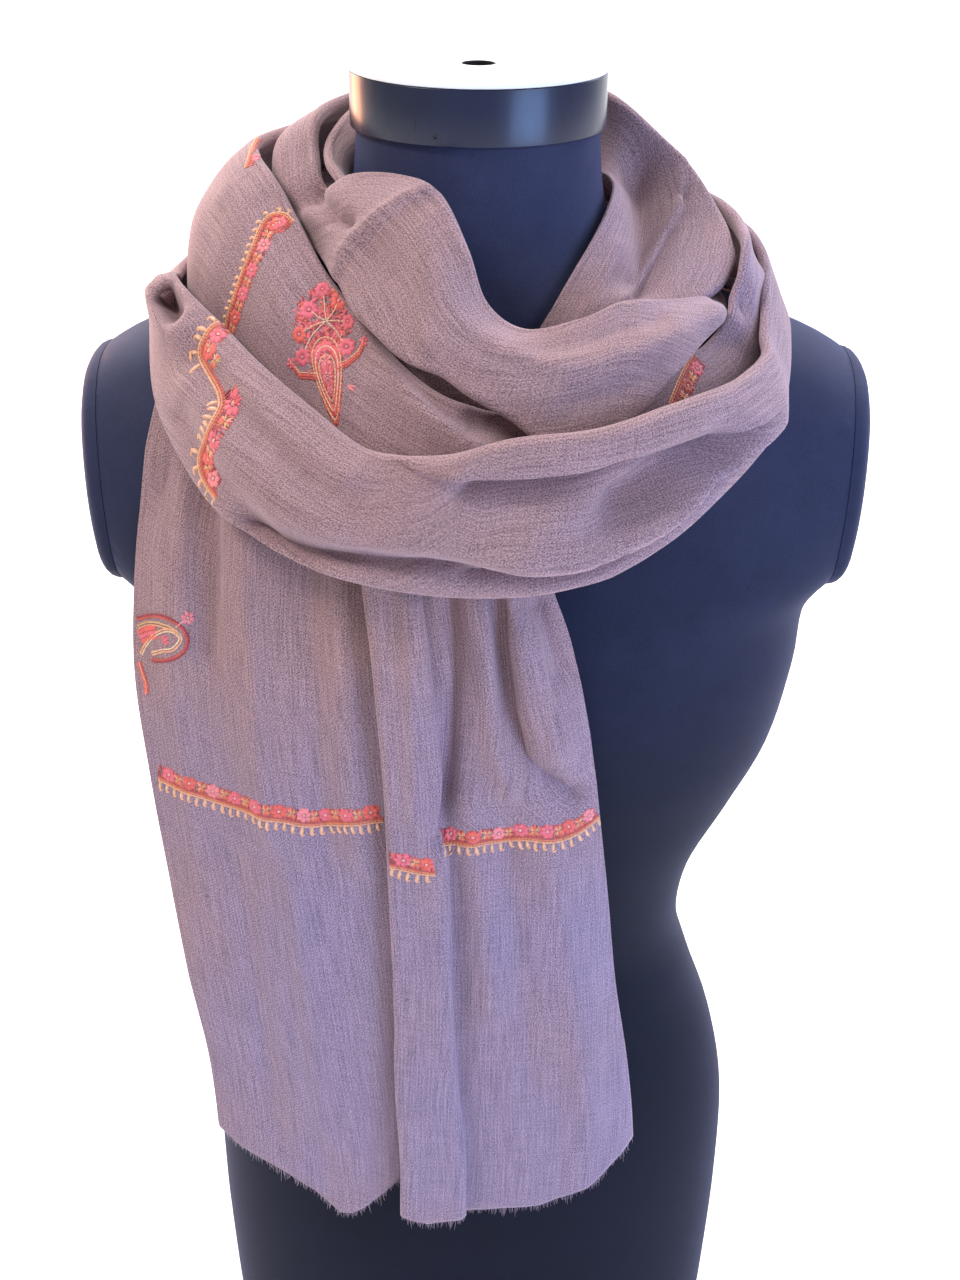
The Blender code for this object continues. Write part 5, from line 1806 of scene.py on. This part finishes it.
# %% Embroidery: the turned paisley
HOOK = [(137, 620), (148, 617), (160, 617), (171, 621), (181, 628), (187, 639), (184, 650), (175, 657), (162, 660),
        (151, 659)]
HOOK_BACK = [(137, 626), (148, 622), (162, 624), (174, 629), (182, 637)]
HOOK_FRONT = [(140, 654), (145, 644), (154, 634), (166, 629), (177, 632), (182, 638), (179, 645), (172, 651),
              (163, 652), (152, 655)]
HOOK_BODY = [(138, 634), (146, 630), (156, 628)]
HOOK_LEAF = [(138, 662), (141, 672), (145, 684), (145, 694)]
HOOK_STALK = [(175, 628), (181, 623), (186, 620)]
# Each line of the hook: its path, its width, its thread, and how far it lies to the left of the path.
HOOK_LINES = [
    (HOOK, 1.8, "brick", 0.0), (HOOK, 1.4, "maroon", 1.0), (HOOK_BODY, 3.4, "coral", 0.5),
    (HOOK_BODY, 3.0, "rose", -2.0), (HOOK_BODY, 3.0, "coral", -4.2), (HOOK_BACK, 1.3, "straw", 0.0),
    (HOOK_BACK, 1.0, "peach", -1.4), (HOOK_FRONT, 1.4, "peach", 0.0), (HOOK_FRONT, 1.1, "cream", -1.2),
    (HOOK_LEAF, 2.0, "brick", 1.6), (HOOK_LEAF, 2.0, "coral", 0.0), (HOOK_LEAF, 1.0, "peach", 0.8),
    (HOOK_STALK, 0.9, "blush", 0.0),
]
# Each flower by the hook: its middle, a place above it, its radius, and its thread.
HOOK_FLOWERS = [((188, 618), (188, 600), 3.6, "pink"), ((165, 640), (165, 622), 2.8, "rose")]


def sew_hook(skin):
    work = Embroidery("paisley_left_end")
    for line, width, colour, shift in HOOK_LINES:
        place, length = trail(skin, line)
        work.chain(place, [(0, shift), (length, shift)], width, colour)
    for middle, above, radius, colour in HOOK_FLOWERS:
        work.flower(patch(skin, middle, above), 0, 0, radius, colour, heart="blush")
    work.piece("shawl_left_end")


sew_hook(skins["shawl_left_end"])
print("sewn on:", {cloth: len(pieces) for cloth, pieces in trimmings.items()})

# %% [markdown]
# ## Fringe
# The ends are cut raw and their threads stand loose for a few millimetres, drawn together here and there. A strip
# with points cut into it would look like paper. So each thread is a fine tapered strand, and neighbours lean together
# in small tufts.

# %% Fringe
STRAND_PITCH = 0.55 * MM
STRAND_SIDES = 3
STRAND_RINGS = 5
STRAND_WIDTH = 0.36 * MM
STRAND_TAPER = 0.75
STRAND_LENGTH = 3.6
STRAND_WAVE = 3.0
STRAND_SHORTEST = 1.2
WAVE_PITCH = 0.011
STRAY_SHARE = 0.05
STRAY_LENGTH = 1.7
ROOT_SINK = 0.8
TUFT_PITCH = 5.5 * MM
STRAND_BEND = 1.4
# The least and the most of what chance gives a strand: its place within the pitch, what is added to its length, how
# far its root lies out, how much it is drawn to its tuft, how far it leans and how far it curls.
STRAND_PLACE = (0.1, 0.9)
LENGTH_VARIES = (-1.2, 1.6)
ROOT_VARIES = (-0.4, 0.4)
TUFT_PULL = (0.1, 0.6)
LEAN_VARIES = (-0.8, 0.8)
CURL_VARIES = (-1.2, 1.2)
# The right end's first columns are turned behind it and carry no fringe.
TURNED_COLUMNS = {"left": 0, "right": 18}
WAVE_SEED = {"left": 3.0, "right": 9.0}
loose = random.Random(11)


def strand(root, down, aside, facing, length, lean, curl):
    """The corners of one strand, from its root inside the hem to its tip."""
    corners = []
    for k in range(STRAND_RINGS):
        share = k / (STRAND_RINGS - 1)
        middle = root + down * length * share + aside * lean * share ** STRAND_BEND + facing * curl * share ** 2
        half = STRAND_WIDTH / 2 * (1.0 - STRAND_TAPER * share)
        for turn in np.arange(STRAND_SIDES) * math.tau / STRAND_SIDES:
            corners.append((middle + (aside * math.cos(turn) + facing * math.sin(turn)) * half).tolist())
    return corners


def strand_faces(first):
    """The faces of a strand whose corners start at a number."""
    faces = []
    for here in range(first, first + (STRAND_RINGS - 1) * STRAND_SIDES, STRAND_SIDES):
        there = here + STRAND_SIDES
        for k in range(STRAND_SIDES):
            beside = (k + 1) % STRAND_SIDES
            faces.append((here + k, here + beside, there + beside, there + k))
    ends = (first, first + (STRAND_RINGS - 1) * STRAND_SIDES)
    return faces + [tuple(range(end, end + STRAND_SIDES)) for end in ends]


def make_fringe(side):
    cloth = "shawl_" + side + "_end"
    stretch = stretches[cloth]
    shown = slice(TURNED_COLUMNS[side], None)
    hem, above, facings = stretch.points[-1][shown], stretch.points[-4][shown], stretch.push[-1][shown]
    reach = run_along(hem)
    points, faces = [], []
    for k in range(int(reach[-1] / STRAND_PITCH)):
        where = (k + loose.uniform(*STRAND_PLACE)) * STRAND_PITCH
        spot, higher, out = (np.array([np.interp(where, reach, axis) for axis in part.T])
                             for part in (hem, above, facings))
        down, facing = unit(spot - higher), unit(out)
        aside = unit(np.cross(down, facing))
        pull = (round(where / TUFT_PITCH) - where / TUFT_PITCH) * TUFT_PITCH
        wave = noise.noise((where / WAVE_PITCH, WAVE_SEED[side], 0.0))
        length = STRAND_LENGTH + STRAND_WAVE * wave + loose.uniform(*LENGTH_VARIES)
        if loose.random() < STRAY_SHARE:
            length *= STRAY_LENGTH
        sign = 1.0 if aside @ (hem[-1] - hem[0]) > 0 else -1.0
        root = spot - down * ROOT_SINK * MM + facing * loose.uniform(*ROOT_VARIES) * MM
        lean = sign * pull * loose.uniform(*TUFT_PULL) + loose.uniform(*LEAN_VARIES) * MM
        curl = loose.uniform(*CURL_VARIES) * MM
        faces += strand_faces(len(points))
        points += strand(root, down, aside, facing, max(length, STRAND_SHORTEST) * MM, lean, curl)
    made = loose_piece("fringe_" + side, points, faces, yarn.material, cloth, side + "_fringe")
    made.data.uv_layers.new(name="weave")
    print(made.name, len(faces), "faces")


yarn = grained("loose_yarn", 900.0, (112, 94, 112), (186, 164, 182), dent=(0.4, 0.0002),
               roughness=0.9, sheen_weight=0.25, sheen_roughness=0.5)
make_fringe("left")
make_fringe("right")
